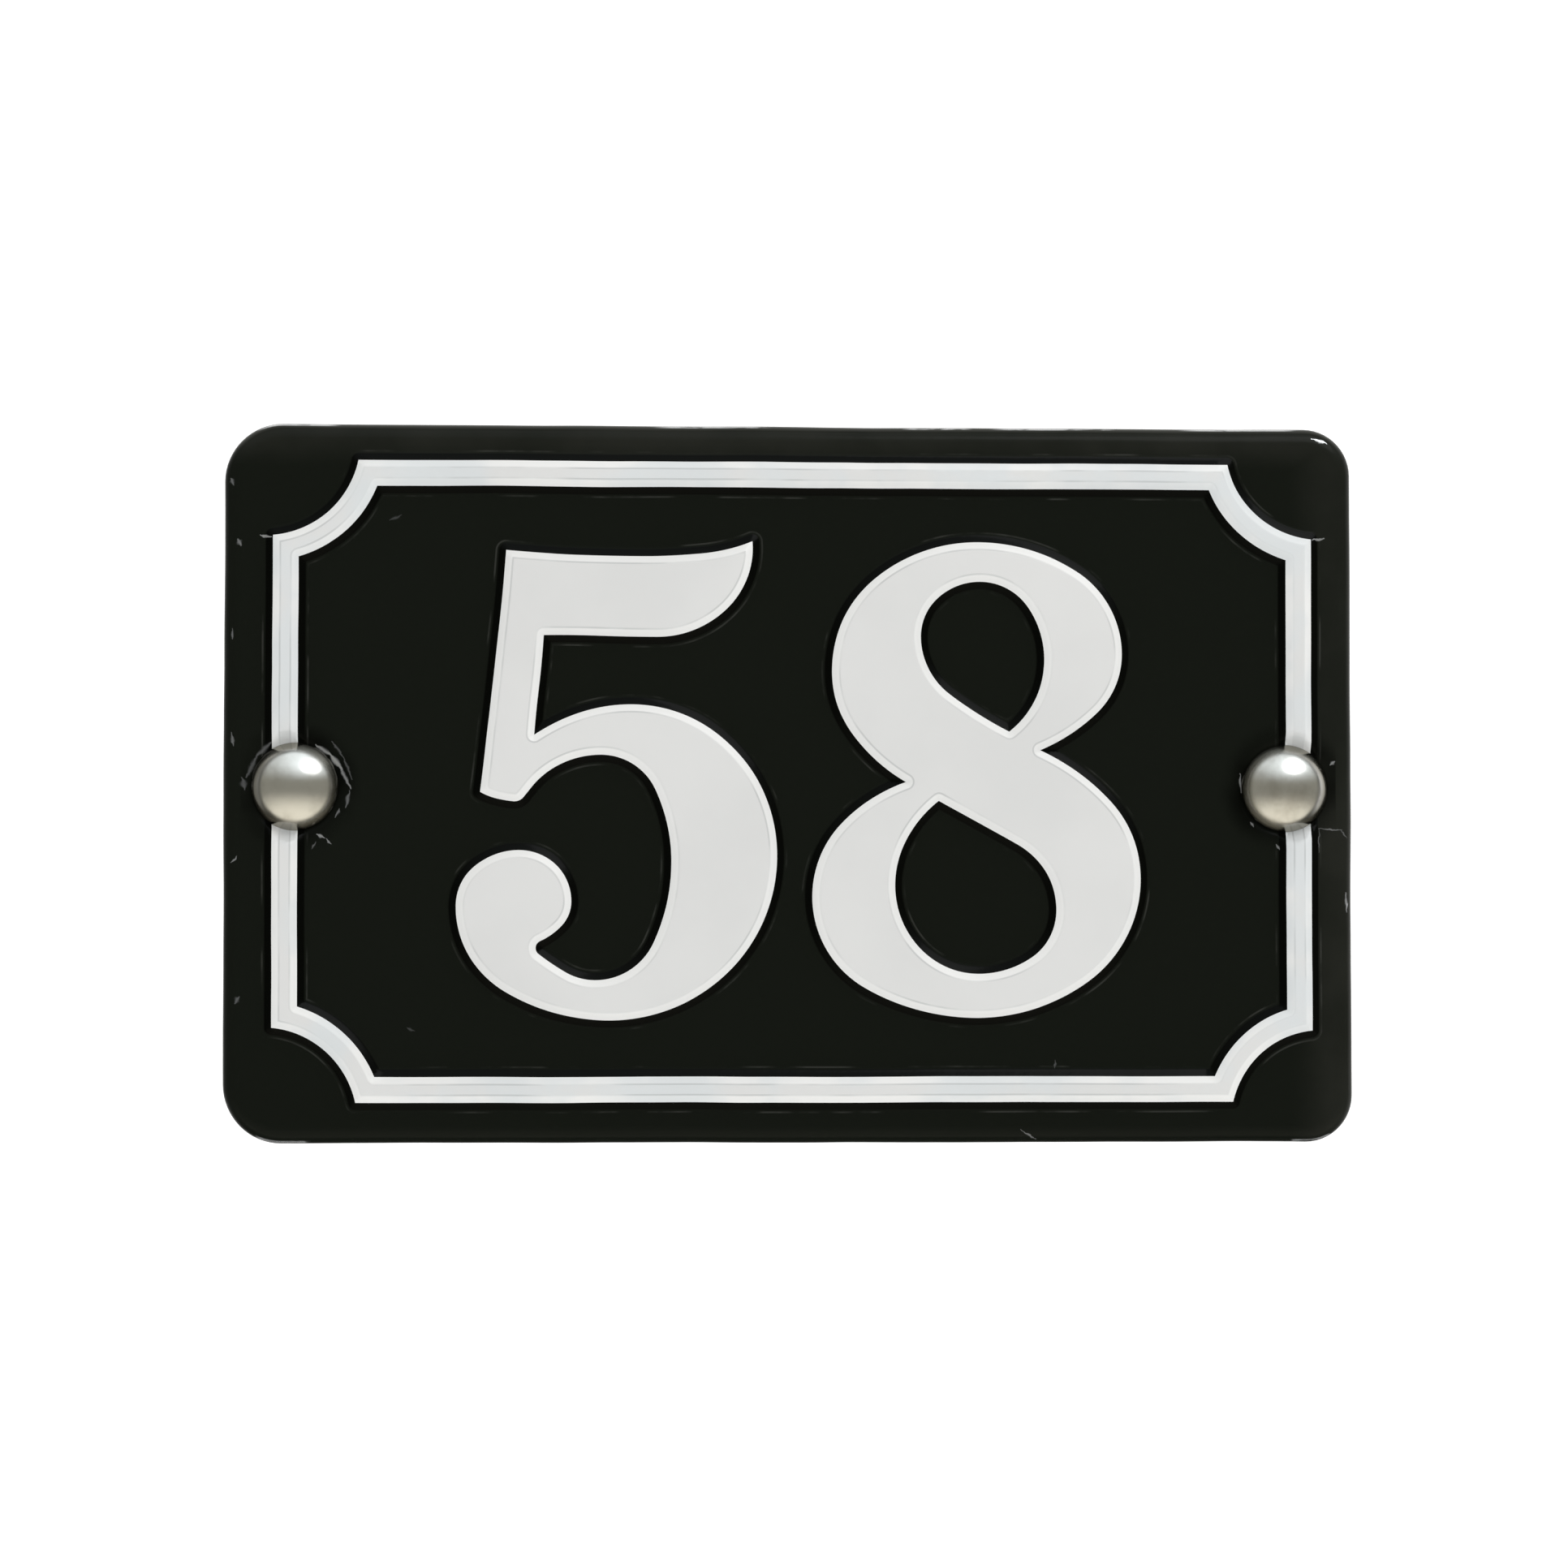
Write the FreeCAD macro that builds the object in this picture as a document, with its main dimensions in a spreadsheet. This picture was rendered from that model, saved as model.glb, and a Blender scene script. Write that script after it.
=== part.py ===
import FreeCAD, Part
import math
import os
import Sketcher
from FreeCAD import Rotation, Vector

# House number plaque: one pressed sheet with a raised border and the numerals
# 5 and 8, fixed by two countersunk screws that carry domed caps.
# Frame: +X to the right and +Z up as a visitor sees it, the front faces -Y, and
# the origin is midway between the two screws on the wall.

# Driving sizes in millimetres
SIZES = {
    # outline of the plate and its rolled-back rim
    "plate_width": 154.9,
    "plate_height": 98.3,
    "plate_shift_x": -0.15,
    "plate_shift_z": 0.6,
    "left_corner_round": 8.0,
    "right_corner_round": 6.4,
    "rim_depth": 4.0,
    "rim_round": 2.4,
    "sheet_gauge": 1.0,
    # pressing: how far the relief rises, and over what width its flank runs
    "relief_rise": 1.3,
    "flank_run": 2.0,
    # border band, measured at the foot of its flanks
    "border_margin_x": 5.25,
    "border_margin_z": 4.35,
    "border_shift_x": 0.25,
    "border_shift_z": 0.8,
    "band_width": 5.5,
    "scoop_round": 11.6,
    "scoop_beyond_x": 0.2,
    "scoop_beyond_z": 1.7,
    "field_corner_round": 0.5,
    # numerals: gap between their drawing grid and the field's top and bottom
    "numeral_gap": 5.65,
    "numeral_shift_z": -0.15,
    # screws and the shallow seat crushed into the sheet under each cap
    "screw_inset": 9.6,
    "seat_clearance": 0.2,
    "seat_depth": 0.3,
    "seat_flank_angle": 45.0,
    "cut_margin": 0.5,
    "head_diameter": 8.0,
    "countersink_angle": 90.0,
    "head_below_seat": 0.1,
    "head_clearance": 0.05,
    "shank_diameter": 4.2,
    "screw_length": 32.0,
    "point_length": 5.0,
    "slot_width": 1.1,
    "slot_depth": 0.9,
    "tapped_diameter": 3.2,
    "tapped_depth": 6.5,
    # domed caps
    "cap_diameter": 12.0,
    "cap_height": 3.7,
    "cap_edge": 0.3,
    "stud_diameter": 3.0,
    "stud_length": 5.0,
    "stud_chamfer": 0.4,
}

# The numerals are drawn on a grid of 1000 units to their height, as type is.
# A point has x, z and the directions in degrees in which the outline arrives
# and leaves; None leaves a direction free, and two frees make a straight side.
# A last True marks a crotch, where the press leaves a small round.
GRID_UNITS = 1000
CROTCH_ROUND = 6
# Left edges of the two grids, from the line midway between the screws
FIVE_LEFT = -718
EIGHT_LEFT = 4

FIVE = [
    (122, 999, 86, None),
    (422, 987, 0, 0),
    (649, 1025, 23, -85),
    (444, 793, 180, 180),
    (227, 796, 181, -94, True),
    (211, 637, -95, 33, True),
    (389, 685, 0, 0),
    (701, 364, -90, -90),
    (348, 15, 180, 180),
    (21, 260, 90, 90),
    (163, 389, 0, 0),
    (284, 270, -90, -90),
    (220, 174, 205, -38, True),
    (316, 126, 0, 0),
    (458, 354, 90, 90),
    (330, 553, 180, 180),
    (199, 492, -128, -128),
    (150, 458, 175, 175),
    (68, 484, None, 83),
]

EIGHT = [
    (374, 1019, 0, 0),
    (684, 776, -90, -90),
    (539, 579, -157, -24, True),
    (721, 318, -90, -90),
    (371, 19, 180, 180),
    (21, 282, 90, 90),
    (192, 517, 19, 150, True),
    (61, 741, 90, 90),
]

EIGHT_UPPER_EYE = [
    (380, 908, 0, 0),
    (496, 767, -90, -90),
    (437, 634, -142, 153, True),
    (272, 810, 90, 90),
]

EIGHT_LOWER_EYE = [
    (296, 458, 38, -29, True),
    (519, 253, -90, -90),
    (376, 138, 180, 180),
    (220, 303, 90, 90),
]

SIDES = {"left": -1, "right": 1}

# Lengths below this, in millimetres, count as none
TINY = 1e-6
# An edge lies at a height if its whole box is this close to it
FLATNESS = 0.001

doc = FreeCAD.newDocument("HouseNumberPlaque")
sheet = doc.addObject("Spreadsheet::Sheet", "Sizes")
for row, (alias, value) in enumerate(SIZES.items(), start=1):
    sheet.set(f"A{row}", alias)
    sheet.set(f"B{row}", str(value))
    sheet.setAlias(f"B{row}", alias)
doc.recompute()


def value_of(expression):
    """Number that an expression of the sheet gives, in millimetres or degrees."""
    result = sheet.evalExpression(expression)
    return float(getattr(result, "Value", result))


# Expressions that more than one feature uses
BORDER_WIDTH = "(Sizes.plate_width - 2 * Sizes.border_margin_x)"
BORDER_HEIGHT = "(Sizes.plate_height - 2 * Sizes.border_margin_z)"
FIELD_HEIGHT = f"({BORDER_HEIGHT} - 2 * Sizes.band_width)"
NUMERAL_HEIGHT = f"({FIELD_HEIGHT} - 2 * Sizes.numeral_gap)"
NUMERAL_BASE = f"Sizes.numeral_shift_z - {NUMERAL_HEIGHT} / 2"
SCREW_PLACE = "(Sizes.plate_width / 2 - Sizes.screw_inset)"
FLANK_ANGLE = "atan(Sizes.flank_run / Sizes.relief_rise)"
FLANK_SLOPE = "atan(Sizes.relief_rise / Sizes.flank_run)"
SEAT_LEVEL = "Sizes.rim_depth - Sizes.seat_depth"
SEAT_RADIUS = "(Sizes.cap_diameter / 2 + Sizes.seat_clearance)"
HEAD_TOP = f"{SEAT_LEVEL} - Sizes.head_below_seat"
COUNTERSINK_TAPER = "Sizes.countersink_angle / 2"
HEAD_RADIUS_AT_SEAT = f"Sizes.head_diameter / 2 + Sizes.head_below_seat * tan({COUNTERSINK_TAPER})"


# Outlines from points and directions

def heading(degrees):
    angle = math.radians(degrees)
    return Vector(math.cos(angle), math.sin(angle), 0)


def left_of(direction):
    return Vector(-direction.y, direction.x, 0)


def arc_leaving(start, direction, end):
    """Arc that leaves start in a direction and passes through end."""
    chord = end - start
    aside = chord.dot(left_of(direction))
    if abs(aside) < TINY:
        return Part.LineSegment(start, end)
    centre = start + left_of(direction) * (chord.dot(chord) / (2 * aside))
    half_turn = math.degrees(math.atan2(aside, chord.dot(direction)))
    middle = centre + Rotation(Vector(0, 0, 1), half_turn).multVec(start - centre)
    return Part.Arc(start, middle, end)


def curves_between(start, leaving, end, arriving):
    """One line or arc, or a pair of arcs that meet tangentially."""
    if leaving is None and arriving is None:
        return [Part.LineSegment(start, end)]
    if arriving is None:
        return [arc_leaving(start, heading(leaving), end)]
    if leaving is None:
        return [arc_leaving(end, heading(arriving) * -1, start)]
    first = heading(leaving)
    last = heading(arriving)
    chord = end - start
    single_turn = 2 * math.atan2(chord.dot(left_of(first)), chord.dot(first))
    wanted_turn = math.atan2(last.dot(left_of(first)), last.dot(first))
    if abs(math.remainder(single_turn - wanted_turn, 2 * math.pi)) < TINY:
        return [arc_leaving(start, first, end)]
    # Both arcs have tangents of one length to the point where they meet
    square = 2 * (1 - first.dot(last))
    along = 2 * chord.dot(first + last)
    if square < TINY ** 2:
        reach = chord.dot(chord) / along
    else:
        reach = (math.sqrt(along * along + 4 * square * chord.dot(chord)) - along) / (2 * square)
    meeting = (start + first * reach + end - last * reach) * 0.5
    return [arc_leaving(start, first, meeting), arc_leaving(end, last * -1, meeting)]


def with_crotches_rounded(points):
    """Each crotch becomes the two ends of its small round."""
    smooth = []
    for point in points:
        across, up, arriving, leaving = point[:4]
        if len(point) == 4:
            smooth.append((Vector(across, up, 0), arriving, leaving))
            continue
        turn = abs(math.remainder(leaving - arriving, 360))
        reach = CROTCH_ROUND * math.tan(math.radians(turn / 2))
        tip = Vector(across, up, 0)
        smooth.append((tip - heading(arriving) * reach, arriving, arriving))
        smooth.append((tip + heading(leaving) * reach, leaving, leaving))
    return smooth


# Sketches

def origin_plane(body, role):
    return [feature for feature in body.Origin.OriginFeatures if feature.Role == role][0]


def new_sketch(body, name, role="XZ_Plane"):
    sketch = body.newObject("Sketcher::SketchObject", name)
    sketch.AttachmentSupport = [(origin_plane(body, role), "")]
    sketch.MapMode = "FlatFace"
    return sketch


def set_level(sketch, level, across="0", up="0"):
    """Places a sketch across and up on the plate, at a height off the wall."""
    sketch.setExpression("AttachmentOffset.Base.x", across)
    sketch.setExpression("AttachmentOffset.Base.y", up)
    sketch.setExpression("AttachmentOffset.Base.z", level)


def constrain_all(sketch, wanted):
    """Adds constraints together; each has its kind, its items and its size or None."""
    first = sketch.ConstraintCount
    constraints = []
    for kind, items, size in wanted:
        values = items if size is None else items + (value_of(size),)
        constraints.append(Sketcher.Constraint(kind, *values))
    sketch.addConstraint(constraints)
    for number, (_, _, size) in enumerate(wanted, start=first):
        if size is not None:
            sketch.setExpression(f"Constraints[{number}]", size)


def constrain(sketch, kind, *items, size=None):
    """Adds one constraint, bound to an expression when a size is given."""
    constrain_all(sketch, [(kind, items, size)])


def add_chain(sketch, curves, size_of):
    """Adds curves that meet end to end, with every end and radius tied to a size."""
    joints = []
    wanted = []
    for curve in curves:
        number = sketch.addGeometry(curve, False)
        if isinstance(sketch.Geometry[number], Part.ArcOfCircle):
            wanted.append(("Radius", (number,), size_of(sketch.Geometry[number].Radius)))
        for end in (1, 2):
            place = sketch.getPoint(number, end)
            met = [joint for joint in joints if joint[0].distanceToPoint(place) < TINY]
            if met:
                wanted.append(("Coincident", (met[0][1], met[0][2], number, end), None))
            else:
                joints.append((place, number, end))
                wanted.append(("DistanceX", (-1, 1, number, end), size_of(place.x)))
                wanted.append(("DistanceY", (-1, 1, number, end), size_of(place.y)))
    constrain_all(sketch, wanted)


def on_grid(units):
    return f"{units} * {NUMERAL_HEIGHT} / {GRID_UNITS}"


def trace_numeral(sketch, points):
    """Draws an outline from grid points, each bound to the numeral's height."""
    height = value_of(NUMERAL_HEIGHT)
    smooth = with_crotches_rounded(points)
    curves = []
    for (start, _, leaving), (end, arriving, _) in zip(smooth, smooth[1:] + smooth[:1]):
        start_place = start * (height / GRID_UNITS)
        end_place = end * (height / GRID_UNITS)
        curves += curves_between(start_place, leaving, end_place, arriving)

    def share_of_height(length):
        return f"{NUMERAL_HEIGHT} * {length / height!r}"

    add_chain(sketch, curves, share_of_height)


def trace_plate(sketch, wall):
    """Rounded rectangle of the plate, drawn inwards by a wall."""
    half_width = f"Sizes.plate_width / 2 - {wall}"
    half_height = f"Sizes.plate_height / 2 - {wall}"
    rounds = {"left": f"Sizes.left_corner_round - {wall}", "right": f"Sizes.right_corner_round - {wall}"}
    x_edge = value_of(half_width)
    z_edge = value_of(half_height)
    corners = []
    for side, up in (("right", 1), ("left", 1), ("left", -1), ("right", -1)):
        round_size = value_of(rounds[side])
        centre = Vector(SIDES[side] * (x_edge - round_size), up * (z_edge - round_size), 0)
        first_angle = math.radians(90 * len(corners))
        circle = Part.Circle(centre, Vector(0, 0, 1), round_size)
        corners.append(sketch.addGeometry(Part.ArcOfCircle(circle, first_angle, first_angle + math.pi / 2)))
        constrain(sketch, "Radius", corners[-1], size=rounds[side])
    for corner, following in zip(corners, corners[1:] + corners[:1]):
        side_line = Part.LineSegment(sketch.getPoint(corner, 2), sketch.getPoint(following, 1))
        line = sketch.addGeometry(side_line)
        constrain(sketch, "Tangent", corner, 2, line, 1)
        constrain(sketch, "Tangent", line, 2, following, 1)
    top_right, top_left, bottom_left, bottom_right = corners
    constrain(sketch, "DistanceX", -1, 1, top_right, 1, size=half_width)
    constrain(sketch, "DistanceX", top_left, 2, -1, 1, size=half_width)
    constrain(sketch, "DistanceY", -1, 1, top_right, 2, size=half_height)
    constrain(sketch, "DistanceY", bottom_right, 1, -1, 1, size=half_height)
    constrain(sketch, "Vertical", top_right, 1, bottom_right, 2)
    constrain(sketch, "Vertical", top_left, 2, bottom_left, 1)
    constrain(sketch, "Horizontal", top_right, 2, top_left, 1)
    constrain(sketch, "Horizontal", bottom_left, 2, bottom_right, 1)


def add_arc(sketch, points, size):
    """Adds an arc through three points and gives its two ends in that order."""
    number = sketch.addGeometry(Part.Arc(*points), False)
    constrain(sketch, "Radius", number, size=size)
    first = 1 if sketch.getPoint(number, 1).distanceToPoint(points[0]) < TINY else 2
    return (number, first), (number, 3 - first)


def arc_through_middle(centre, start, end):
    """Three points of the shorter arc about a centre."""
    outwards = (start + end) * 0.5 - centre
    return [start, centre + outwards.normalize() * centre.distanceToPoint(start), end]


def trace_scooped(sketch, half_width, half_height, scoop, ease=None):
    """Rectangle whose corners are scooped inwards about centres beyond them.

    With an ease, the points where the sides meet the scoops are rounded by it.
    """
    centre_x = f"{BORDER_WIDTH} / 2 + Sizes.scoop_beyond_x"
    centre_z = f"{BORDER_HEIGHT} / 2 + Sizes.scoop_beyond_z"
    centre = Vector(value_of(centre_x), value_of(centre_z), 0)
    x_edge = value_of(half_width)
    z_edge = value_of(half_height)
    scoop_size = value_of(scoop)
    ease_size = value_of(ease) if ease else 0
    reach = scoop_size + ease_size
    # Each ease's centre is one ease inside a side and one ease off the scoop
    beside = Vector(x_edge - ease_size, 0, 0)
    beside.y = centre.y - math.sqrt(reach ** 2 - (centre.x - beside.x) ** 2)
    below = Vector(0, z_edge - ease_size, 0)
    below.x = centre.x - math.sqrt(reach ** 2 - (centre.y - below.y) ** 2)
    from_side = centre + (beside - centre) * (scoop_size / reach)
    from_top = centre + (below - centre) * (scoop_size / reach)
    pieces = [arc_through_middle(centre, from_side, from_top)]
    sizes = [scoop]
    if ease:
        pieces.insert(0, arc_through_middle(beside, Vector(x_edge, beside.y, 0), from_side))
        pieces.append(arc_through_middle(below, from_top, Vector(below.x, z_edge, 0)))
        sizes = [ease, scoop, ease]
    # The upper right corner is mirrored to the others, all drawn anticlockwise
    corners = []
    for across, up in ((1, 1), (-1, 1), (-1, -1), (1, -1)):
        placed = [[Vector(across * point.x, up * point.y, 0) for point in piece] for piece in pieces]
        if across != up:
            placed = [piece[::-1] for piece in placed[::-1]]
        ends = [add_arc(sketch, piece, size) for piece, size in zip(placed, sizes)]
        for (_, before), (after, _) in zip(ends, ends[1:]):
            constrain(sketch, "Tangent", *before, *after)
        scoop_arc = ends[len(ends) // 2][0][0]
        across_items = (-1, 1, scoop_arc, 3) if across > 0 else (scoop_arc, 3, -1, 1)
        up_items = (-1, 1, scoop_arc, 3) if up > 0 else (scoop_arc, 3, -1, 1)
        constrain(sketch, "DistanceX", *across_items, size=centre_x)
        constrain(sketch, "DistanceY", *up_items, size=centre_z)
        corners.append((ends[0][0], ends[-1][1]))
    join = "Tangent" if ease else "Coincident"
    sides = []
    for (_, leaving), (arriving, _) in zip(corners, corners[1:] + corners[:1]):
        side = Part.LineSegment(sketch.getPoint(*leaving), sketch.getPoint(*arriving))
        sides.append(sketch.addGeometry(side, False))
        constrain(sketch, join, *leaving, sides[-1], 1)
        constrain(sketch, join, sides[-1], 2, *arriving)
    top, left, bottom, right = sides
    constrain(sketch, "Horizontal", top)
    constrain(sketch, "Vertical", left)
    constrain(sketch, "Horizontal", bottom)
    constrain(sketch, "Vertical", right)
    constrain(sketch, "DistanceY", -1, 1, top, 1, size=half_height)
    constrain(sketch, "DistanceX", left, 1, -1, 1, size=half_width)
    constrain(sketch, "DistanceY", bottom, 1, -1, 1, size=half_height)
    constrain(sketch, "DistanceX", -1, 1, right, 1, size=half_width)


def trace_screw_circles(sketch, radius):
    """A circle at each screw."""
    for side in SIDES.values():
        middle = Vector(side * value_of(SCREW_PLACE), 0, 0)
        circle = sketch.addGeometry(Part.Circle(middle, Vector(0, 0, 1), value_of(radius)), False)
        items = (-1, 1, circle, 3) if side > 0 else (circle, 3, -1, 1)
        constrain(sketch, "DistanceX", *items, size=SCREW_PLACE)
        constrain(sketch, "PointOnObject", circle, 3, -1)
        constrain(sketch, "Radius", circle, size=radius)


# Features

def add_feature(body, kind, name, profile, length, taper="0", reverse=False):
    """Pad or pocket of a sketch; a taper above zero widens it as it goes."""
    feature = body.newObject(f"PartDesign::{kind}", name)
    feature.Profile = profile
    feature.Reversed = reverse
    feature.setExpression("Length", length)
    feature.setExpression("TaperAngle", taper)
    doc.recompute()
    return feature


def add_fillet(body, name, base, level, radius):
    """Rounds every edge that lies at a height off the wall."""
    height = -value_of(level)
    edges = []
    for number, edge in enumerate(base.Shape.Edges, start=1):
        box = edge.BoundBox
        if abs(box.YMin - height) < FLATNESS and abs(box.YMax - height) < FLATNESS:
            edges.append(f"Edge{number}")
    fillet = body.newObject("PartDesign::Fillet", name)
    fillet.Base = (base, edges)
    fillet.setExpression("Radius", radius)
    doc.recompute()
    return fillet


def pressed_form(label, wall, refill=False):
    """One skin of the pressed sheet as a solid, a wall behind the front.

    A flank shifted back by wall / cos(slope) lies one wall behind itself, so
    every relief keeps its outline and only its level changes. Behind the front,
    its foot is then below the floor, which is refilled.
    """
    foot = f"Sizes.rim_depth - {wall} / cos({FLANK_SLOPE})"
    top = f"Sizes.rim_depth + Sizes.relief_rise - {wall}"
    rise = f"{top} - ({foot})"
    body = doc.addObject("PartDesign::Body", label)

    outline = new_sketch(body, f"{label}_outline")
    trace_plate(outline, wall)
    set_level(outline, "0", "Sizes.plate_shift_x", "Sizes.plate_shift_z")
    tray = add_feature(body, "Pad", f"{label}_tray", outline, f"Sizes.rim_depth - {wall}")
    add_fillet(body, f"{label}_rim", tray, f"Sizes.rim_depth - {wall}", f"Sizes.rim_round - {wall}")

    border = new_sketch(body, f"{label}_border_line")
    trace_scooped(border, f"{BORDER_WIDTH} / 2", f"{BORDER_HEIGHT} / 2", "Sizes.scoop_round")
    set_level(border, foot, "Sizes.border_shift_x", "Sizes.border_shift_z")
    add_feature(body, "Pad", f"{label}_border", border, rise, f"-{FLANK_ANGLE}")

    field = new_sketch(body, f"{label}_field_line")
    trace_scooped(
        field,
        f"{BORDER_WIDTH} / 2 - Sizes.band_width",
        f"{FIELD_HEIGHT} / 2",
        "Sizes.scoop_round + Sizes.band_width",
        "Sizes.field_corner_round",
    )
    set_level(field, foot, "Sizes.border_shift_x", "Sizes.border_shift_z")
    add_feature(body, "Pocket", f"{label}_field", field, rise, FLANK_ANGLE, reverse=True)

    for name, points, left in (("five", FIVE, FIVE_LEFT), ("eight", EIGHT, EIGHT_LEFT)):
        numeral = new_sketch(body, f"{label}_{name}_line")
        trace_numeral(numeral, points)
        set_level(numeral, foot, on_grid(left), NUMERAL_BASE)
        add_feature(body, "Pad", f"{label}_{name}", numeral, rise, f"-{FLANK_ANGLE}")
    for name, points in (("upper_eye", EIGHT_UPPER_EYE), ("lower_eye", EIGHT_LOWER_EYE)):
        eye = new_sketch(body, f"{label}_{name}_line")
        trace_numeral(eye, points)
        set_level(eye, foot, on_grid(EIGHT_LEFT), NUMERAL_BASE)
        add_feature(body, "Pocket", f"{label}_{name}", eye, rise, FLANK_ANGLE, reverse=True)
    if refill:
        add_feature(body, "Pad", f"{label}_floor", border, f"Sizes.rim_depth - {wall} - ({foot})")

    seat = new_sketch(body, f"{label}_seat_line")
    widened = f"{wall} * tan(Sizes.seat_flank_angle / 2)"
    trace_screw_circles(seat, f"{SEAT_RADIUS} + {widened}")
    set_level(seat, f"{SEAT_LEVEL} - {wall}")
    seat_rise = "Sizes.seat_depth + Sizes.relief_rise + Sizes.cut_margin"
    add_feature(body, "Pocket", f"{label}_seats", seat, seat_rise, "Sizes.seat_flank_angle", reverse=True)
    return body


def pressed_sheet():
    """The sheet between its front and back skins, with countersunk screw holes."""
    front = pressed_form("front_skin", "0")
    holes = new_sketch(front, "hole_line")
    trace_screw_circles(holes, f"{HEAD_RADIUS_AT_SEAT} + Sizes.head_clearance")
    set_level(holes, SEAT_LEVEL)
    hole_depth = "Sizes.sheet_gauge + Sizes.cut_margin"
    add_feature(front, "Pocket", "countersunk_holes", holes, hole_depth, f"-({COUNTERSINK_TAPER})")
    back = pressed_form("back_skin", "Sizes.sheet_gauge", refill=True)
    plate = doc.addObject("Part::Cut", "plate")
    plate.Base = front
    plate.Tool = back
    plate.Label = "plate"
    return plate


# Turned pieces, drawn as half profiles: x is the radius and y the depth from the top

def tie_point(sketch, curve, end, across, along):
    """Ties one end of a curve to its radius and depth, or to the axes at zero."""
    if across == "0":
        constrain(sketch, "PointOnObject", curve, end, -2)
    else:
        constrain(sketch, "DistanceX", -1, 1, curve, end, size=across)
    if along == "0":
        constrain(sketch, "PointOnObject", curve, end, -1)
    else:
        constrain(sketch, "DistanceY", -1, 1, curve, end, size=along)


def turned_body(label, points, top_level, dome_radius=None):
    """Revolves a closed half profile; a dome replaces its first side by an arc."""
    body = doc.addObject("PartDesign::Body", label)
    body.Label = label
    half = new_sketch(body, f"{label}_profile", "XY_Plane")
    half.setExpression("AttachmentOffset.Base.y", f"-({top_level})")
    places = [Vector(value_of(across), value_of(along), 0) for across, along in points]
    ends = []
    for index, start in enumerate(places):
        end = places[(index + 1) % len(places)]
        if index == 0 and dome_radius:
            centre = start + Vector(0, value_of(dome_radius), 0)
            ends.append(add_arc(half, arc_through_middle(centre, start, end), dome_radius))
        else:
            side = half.addGeometry(Part.LineSegment(start, end), False)
            ends.append(((side, 1), (side, 2)))
    for index, (across, along) in enumerate(points):
        starting = ends[index][0]
        constrain(half, "Coincident", *ends[index - 1][1], *starting)
        tie_point(half, *starting, across, along)
    turning = body.newObject("PartDesign::Revolution", f"{label}_turning")
    turning.Profile = half
    turning.ReferenceAxis = (half, ["V_Axis"])
    turning.Angle = 360
    doc.recompute()
    return body


def place_at_screw(body, side):
    """Moves a turned piece from the middle of the pair to its screw."""
    body.setExpression("Placement.Base.x", f"{SIDES[side]} * {SCREW_PLACE}")
    return body


def mirror_screw(side):
    """Countersunk wood screw with a slotted head and a tapped hole for the cap."""
    head = "Sizes.head_diameter / 2"
    shank = "Sizes.shank_diameter / 2"
    tapped = "Sizes.tapped_diameter / 2"
    points = [
        (tapped, "0"),
        (head, "0"),
        (shank, f"({head} - {shank}) / tan({COUNTERSINK_TAPER})"),
        (shank, "Sizes.screw_length - Sizes.point_length"),
        ("0", "Sizes.screw_length"),
        ("0", "Sizes.tapped_depth"),
        (tapped, "Sizes.tapped_depth"),
    ]
    label = f"{side}_screw"
    body = turned_body(label, points, HEAD_TOP)
    slot = new_sketch(body, f"{label}_slot_line")
    length = value_of("Sizes.head_diameter")
    width = value_of("Sizes.slot_width")
    corners = [Vector(x * length, z * width / 2, 0) for x, z in ((-1, -1), (1, -1), (1, 1), (-1, 1))]
    for start, end in zip(corners, corners[1:] + corners[:1]):
        slot.addGeometry(Part.LineSegment(start, end), False)
    for number in range(4):
        constrain(slot, "Coincident", number, 2, (number + 1) % 4, 1)
        constrain(slot, "Vertical" if number % 2 else "Horizontal", number)
    constrain(slot, "Symmetric", 0, 1, 2, 1, -1, 1)
    constrain(slot, "DistanceX", 0, 1, 0, 2, size="2 * Sizes.head_diameter")
    constrain(slot, "DistanceY", 1, 1, 1, 2, size="Sizes.slot_width")
    set_level(slot, HEAD_TOP)
    add_feature(body, "Pocket", f"{label}_slot", slot, "Sizes.slot_depth")
    return place_at_screw(body, side)


def domed_cap(side):
    """Turned dome with a flat base and a stud for the screw's tapped hole."""
    cap = "Sizes.cap_diameter / 2"
    stud = "Sizes.stud_diameter / 2"
    dome = "(Sizes.cap_height - Sizes.cap_edge)"
    tip = "Sizes.cap_height + Sizes.stud_length"
    points = [
        ("0", "0"),
        (cap, dome),
        (cap, "Sizes.cap_height"),
        (stud, "Sizes.cap_height"),
        (stud, f"{tip} - Sizes.stud_chamfer"),
        (f"{stud} - Sizes.stud_chamfer", tip),
        ("0", tip),
    ]
    dome_radius = f"(({cap}) ^ 2 + {dome} ^ 2) / (2 * {dome})"
    label = f"{side}_cap"
    body = turned_body(label, points, f"{SEAT_LEVEL} + Sizes.cap_height", dome_radius)
    return place_at_screw(body, side)


parts = [pressed_sheet()]
for side in SIDES:
    parts.append(mirror_screw(side))
    parts.append(domed_cap(side))
doc.recompute()

# Nothing is written unless every object is sound
for item in doc.Objects:
    if "Invalid" in item.State or "Error" in item.State:
        raise RuntimeError(f"{item.Name} failed: {item.State}")
for part in parts:
    if part.Shape.isNull() or not part.Shape.isValid() or len(part.Shape.Solids) != 1:
        raise RuntimeError(f"{part.Label} is not one sound solid")

os.makedirs("parts", exist_ok=True)
for part in parts:
    part.Shape.exportStep(f"parts/{part.Label}.step")
    print(part.Label, round(part.Shape.Volume, 2), "mm3")
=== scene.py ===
import cmath
import math

import bmesh
import bpy
from bpy.props import FloatProperty, FloatVectorProperty, IntProperty, PointerProperty
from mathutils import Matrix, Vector
from mathutils.bvhtree import BVHTree
from mathutils.geometry import delaunay_2d_cdt


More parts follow.
